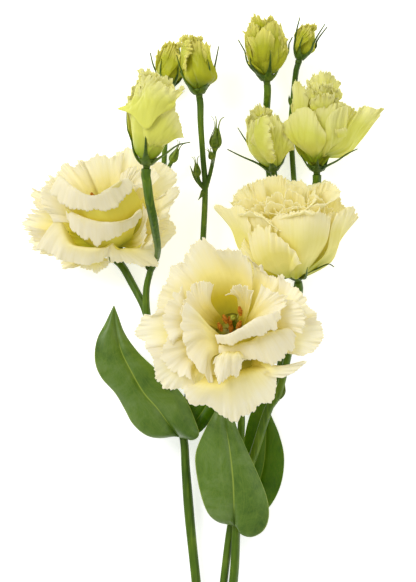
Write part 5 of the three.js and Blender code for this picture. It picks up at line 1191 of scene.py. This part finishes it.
ROSETTE = [                         # the frilled tiers in the middle of the open bud: foot, middle and rim
    [[(315, 100, 20), (325, 102, 22), (334, 100, 20)], [(312, 90, 22), (325, 86, 25.5), (338, 90, 22)],
     [(311, 83, 22), (316, 74, 26), (324, 69, 27), (332, 72, 26), (340, 82, 22)]],
    [[(315, 106, 22), (325, 108, 24), (335, 106, 22)], [(310, 98, 24), (324, 94, 28), (340, 98, 24)],
     [(307, 92, 24), (313, 83, 28), (323, 79, 29), (334, 82, 28), (342, 92, 24)]],
    [[(318, 104, 24), (325, 106, 26), (332, 104, 24)], [(315, 96, 26), (325, 92, 29), (334, 96, 26)],
     [(314, 90, 27), (319, 85, 30), (326, 84, 30.5), (333, 88, 29)]],
    [[(314, 113, 23), (325, 115, 25), (335, 113, 23)], [(310, 106, 25), (325, 103, 29), (340, 107, 25)],
     [(308, 101, 25), (315, 94, 29), (325, 90, 30.5), (336, 93, 29), (343, 101, 25)]],
]
WOUND = dict(outline=(0.3, 0.75, 1.0, 1.0, 0.8), waves=(0.4, 1.6), pleats=(0.5, 3), frill=(0.9, 7), twist=70,
             fringe=0.7, lobes=(0.6, 4), cols=85, rows=27, swirl=1.3, crumple=0.6)
CROWN = dict(outline=(0.4, 0.7, 0.95, 1.0), waves=(0.6, 2), pleats=(0.8, 3), frill=(1.4, 5), fringe=0.9,
             lobes=(1.0, 3), cols=71, rows=25, swirl=0.5)
TIER = dict(rooted=False, shade=(0.5, 1), frill=(1.3, 5), pleats=(1.1, 3), lobes=(1.0, 3), fringe=1.0,
            crumple=0.9)

LAID_BUDS["bud_open"] += [dict(seed=90 + k, lines=lines, **TIER) for k, lines in enumerate(ROSETTE)]
bud_lime = petal_skin("bud_lime", (0.22, 0.34, 0.01), (0.47, 0.54, 0.036), (0.69, 0.69, 0.13),
                      (0.78, 0.75, 0.27), (0.68, 0.69, 0.12), 0.36, 0.04)
young_lime = petal_skin("young_lime", (0.135, 0.205, 0.005), (0.34, 0.39, 0.014), (0.5, 0.51, 0.03),
                        (0.76, 0.7, 0.14), (0.43, 0.45, 0.021), 0.34, 0.02)
bud_points = {}                     # each bud's petals, from its base, for the sepals that lie on them
for name, groups in BUDS.items():
    blades = [wrapped_petal(name, *petal[:4], **{**kind, **dict(*petal[4:])})
              for kind, petals in zip((WOUND, CROWN), groups) for petal in petals]
    blades += [laid_petal(name, **petal) for petal in LAID_BUDS.get(name, ())]
    bud_points[name] = np.vstack([blade[0].reshape(-1, 3) for blade in blades]) - flower_base(name)
    skin = bud_lime if name in ("bud_front", "bud_low", "bud_open") else young_lime
    placed(closed_sheets(f"{name}_wound_petals", blades, skin), "bud_petal", f"{name}_petals")


# ------------------------------------------------------------------ cups and sepals
# Under every flower and bud the stalk swells into a short green cup. Five thin keeled sepals
# leave it: each is broad at its root, then a long awl-shaped tail that lies along the petals.

SPREAD = [(9.5, 6), (13, 10), (17, 13)]    # the track of a sepal that stands off under an open bloom
SEPALS = {                          # for each flower: the side that each sepal grows on, and its track
    "centre": [
        (-150, SPREAD), (-78, SPREAD), (-6, SPREAD), (66, SPREAD), (138, SPREAD),
    ],
    "left": [
        (-8, [(9, 5), (12, 6), (15, 2)]), (-80, SPREAD), (-152, SPREAD), (64, SPREAD), (136, SPREAD),
    ],
    "right": [
        (-60, [(9, 1), (15, 3), (20, 9)]), (12, [(9, 1), (14, 3), (19.4, 9)]),
        (62, [(5, 1.0), (9.5, 2.6), (14.5, 4.6), (17, 3.4)]), (140, [(9, 1), (15, 3), (19, 10)]),
        (-140, [(9, 1), (15, 3), (19, 10)]),
    ],
    "bud_front": [
        (-100, [(5.8, 4), (7.4, 11), (9, 19)]), (-6, [(5.6, 4), (6.8, 8), (7.4, 11.5)]),
        (72, [(8, 3.6), (12.5, 7.2), (17.5, 8.8)]), (150, [(6, 5), (7.4, 11), (8, 17)]),
    ],
    "bud_middle": [
        (-62, [(5, 4), (7, 9), (8.4, 15)]), (40, [(5, 4), (6.8, 8), (7.6, 12)]),
        (98, [(6, 4.5), (8, 10), (10, 16.5)]), (-110, [(5, 5), (6, 11), (6.4, 17.5)]),
        (175, [(5, 4), (6.2, 9), (6, 13)]),
    ],
    "bud_back": [
        (-95, [(4.4, 4), (6.6, 8), (8.2, 13)]), (-40, [(4, 4), (5, 8), (5.4, 11)]),
        (45, [(4, 4), (4.8, 8), (5.2, 12)]), (95, [(4, 4), (5.2, 8), (5.6, 12)]),
    ],
    "bud_top": [
        (-78, [(5.4, 4), (8.2, 10), (11, 15.5)]), (-45, [(5.4, 3.4), (7.4, 6), (8.2, 8.4)]),
        (12, [(5.2, 4), (6.8, 7.4), (7.4, 11)]), (76, [(5.4, 4), (8.4, 10), (11.5, 15.5)]),
        (165, [(5.2, 5), (6.6, 10), (6.8, 14)]),
    ],
    "bud_tip": [
        (-75, [(3.6, 3.4), (4.4, 9), (4.6, 14.6)]), (-15, [(3.4, 3), (4, 5.6), (4, 8)]),
        (60, [(3.8, 3.6), (5, 9), (7, 15)]), (100, [(4, 3.8), (5.4, 9), (7.4, 14)]),
    ],
    "bud_low": [
        (-84, [(6, 3), (11.5, 7), (16.5, 11)]), (0, [(5.2, 3.4), (7.4, 7), (8.2, 10)]),
        (66, [(5.4, 4), (7.6, 8), (9.4, 11.5)]), (-120, [(6, 5), (9.4, 12), (12, 18)]),
    ],
    "bud_open": [
        (-75, [(5.4, 2.5), (6.4, 4), (6.8, 5)]), (70, [(8.5, 3), (12.5, 6), (17, 8.5)]),
        (130, [(6, 3), (7.4, 5), (8.4, 7)]), (-140, [(6, 3), (7.4, 5), (8.4, 7)]),
        (0, [(5.6, 2.4), (6.8, 3.6), (7.4, 4.6)]),
    ],
}
CUP_SHAPE = [(1.3, -3.6), (1.4, -2.6)]                              # on the stalk, mm
CUP_BELL = [(0.42, -1.8), (0.58, -1.1), (0.8, -0.2), (0.86, 0.5), (0.7, 0.7), (0.4, 0.2)]   # radii as shares
CUP_SIDES, SEPAL_STEPS = 28, 26
SEPAL_BREADTH = (1.5, 1.35, 0.75, 0.45, 0.32, 0.22, 0.06)           # along a sepal, as a share of its root
SEPAL_ROOT = (1.5, 0.36)            # half its breadth: at most this many mm, and this share of the cup
SEPAL_THICK = 0.55                  # half of it, at the root, mm
SEPAL_GAP, SEPAL_LIFT = 0.35, 1.6   # clearance from the petals, and the most that a track moves for it, mm


def petal_reach(name, height, azimuth):
    """How far a bud's petals reach from its axis near a height and an azimuth."""
    if name not in bud_points:
        return 0.0
    front, side, axis = flower_frame(name)
    p = bud_points[name]
    high, a, b = p @ axis, p @ front, p @ side
    c, s = math.cos(azimuth), math.sin(azimuth)
    turn = np.arctan2(b * c - a * s, a * c + b * s)
    near = (np.abs(high - height) < 0.8) & (np.abs(turn) < 0.12)
    return np.hypot(a, b)[near].max() if near.any() else 0.0


def sepal_rings(name, cup, phi, track):
    """One sepal along its track, held just clear of a bud's petals."""
    path = curve_through([(0.44 * cup, -1.6), (0.92 * cup, 0.3)] + track, SEPAL_STEPS)
    share = np.linspace(0, 1, SEPAL_STEPS)
    clear = np.array([petal_reach(name, h, math.radians(phi)) for h in path[:, 1]]) + SEPAL_GAP
    clear = np.minimum(clear, path[:, 0] + SEPAL_LIFT)
    clear = np.convolve(np.pad(clear, 3, "edge"), np.ones(7) / 7, "valid")
    lying = np.where(share > 0.15, np.maximum(path[:, 0], clear), path[:, 0])
    out = outward(name, phi)
    line = flower_base(name) + flower_frame(name)[2] * path[:, 1][:, None] + out * lying[:, None]
    line[:, 2] = np.maximum(line[:, 2], 0.5)
    half = keyed(SEPAL_BREADTH, share) * min(SEPAL_ROOT[0], cup * SEPAL_ROOT[1])
    return blade_rings(line, half, SEPAL_THICK * (1 - 0.6 * share), out)


for name, (*_, cup) in FLOWERS.items():
    bell = turned_rings(name, CUP_SHAPE + [(r * cup, h) for r, h in CUP_BELL], CUP_SIDES)
    stacks = [bell] + [sepal_rings(name, cup, phi, track) for phi, track in SEPALS[name]]
    placed(skin_of_rings(f"{name}_cup_and_sepals", stacks, sepal_green), "green_calyx", f"{name}_calyx")


# ------------------------------------------------------------------ side buds
# Four very small buds are still closed and green: a slim body like an onion whose sepals meet
# at the top and stand off it as thin points.

SIDE_BUD_SHAPE = [(0.35, -0.15), (0.6, 0.0), (0.92, 0.14), (0.98, 0.3), (0.8, 0.5), (0.5, 0.7), (0.28, 0.88),
                  (0.1, 0.97)]      # (radius, height) as shares of its girth and height
SIDE_SEPAL = [(0.7, 0.04), (1.05, 0.26), (0.84, 0.56), (0.45, 0.88), (0.42, 1.12), (0.7, 1.36), (1.3, 1.5)]
SIDE_SEPAL_BREADTH, SIDE_SEPAL_THICK = (0.5, 0.74, 0.62, 0.34, 0.2, 0.05), 0.24
SIDE_STEPS = 20

side_bud_green = sepal_skin("side_bud_green", (0.05, 0.11, 0.004), (0.14, 0.22, 0.01), (0.34, 0.4, 0.03))
share = np.linspace(0, 1, SIDE_STEPS)
for name, (base, _, _, height, girth) in SIDE_BUDS.items():
    body, track = (curve_through([(r * girth, h * height) for r, h in shape], SIDE_STEPS)
                   for shape in (SIDE_BUD_SHAPE, SIDE_SEPAL))
    stacks = [turned_rings(name, np.maximum(body, (0.05, -9)), SIDE_STEPS)]
    for phi in (-84, -20, 50, 110, 200):
        out = outward(name, phi)
        line = np.array(base) + flower_frame(name)[2] * track[:, 1][:, None] + out * track[:, 0][:, None]
        half = keyed(SIDE_SEPAL_BREADTH, share) * girth / 1.9
        stacks.append(blade_rings(line, half, SIDE_SEPAL_THICK * (1 - 0.6 * share), out, 8))
    placed(skin_of_rings(f"{name}_body", stacks, side_bud_green), "green_calyx", name)


# ------------------------------------------------------------------ floor, light and camera
# The spray lies on a plain pale surface under soft studio light and is seen from straight
# above, from a metre and a half.

FRAME_ROWS = 582                    # steps of the view from top to bottom
FLOOR_HALF, FLOOR_GLOW, SKY_STRENGTH = 3, 0.56, 0.52
LAMPS = [("key_light", (-0.7, 0.6, 1.0), 0.6, 8.8), ("fill_light", (0.8, 0.2, 0.9), 0.9, 2.5)]
SENSOR = 36                         # mm

floor_mesh = bpy.data.meshes.new("pale_floor")
corners = [(x * FLOOR_HALF, y * FLOOR_HALF, 0) for x, y in ((-1, -1), (1, -1), (1, 1), (-1, 1))]
floor_mesh.from_pydata(corners, [], [(0, 1, 2, 3)])
surface, node, coated = shader("pale_floor", 0.9, 0.2)
surface.inputs["Emission Color"].default_value = (1, 1, 1, 1)
surface.inputs["Emission Strength"].default_value = FLOOR_GLOW
paper = ramp(node, noise(node, object_place(node), 40, 2), (0.0, (0.955, 0.955, 0.95)), (1.0, (0.975,) * 3))
floor_mesh.materials.append(coated(paper))
floor = bpy.data.objects.new("pale_floor", floor_mesh)
bpy.context.scene.collection.objects.link(floor)

world = bpy.data.worlds.new("soft_sky")
bpy.context.scene.world = world
world.use_nodes = True
sky = world.node_tree.nodes["Background"]
sky.inputs[0].default_value, sky.inputs[1].default_value = (1, 1, 1, 1), SKY_STRENGTH
for title, place, size, power in LAMPS:
    lamp = bpy.data.lights.new(title, "AREA")
    lamp.size, lamp.energy = size, power
    light = bpy.data.objects.new(title, lamp)
    light.location = place
    light.rotation_euler = (-Vector(place)).to_track_quat("-Z", "Y").to_euler()
    bpy.context.scene.collection.objects.link(light)

lens = bpy.data.cameras.new("watch_camera")
lens.sensor_fit, lens.sensor_height, lens.sensor_width = "VERTICAL", SENSOR, SENSOR
lens.lens = SENSOR * (WATCH_HEIGHT - SHARP_HEIGHT) / (FRAME_ROWS * VIEW_STEP)
lens.clip_start, lens.clip_end = 0.1, 10
camera = bpy.data.objects.new("watch_camera", lens)
camera.location = (-SPRAY_CENTRE[0] / 1000, -SPRAY_CENTRE[1] / 1000, WATCH_HEIGHT / 1000)
bpy.context.scene.collection.objects.link(camera)
bpy.context.scene.camera = camera
bpy.context.scene.view_settings.view_transform = "Standard"
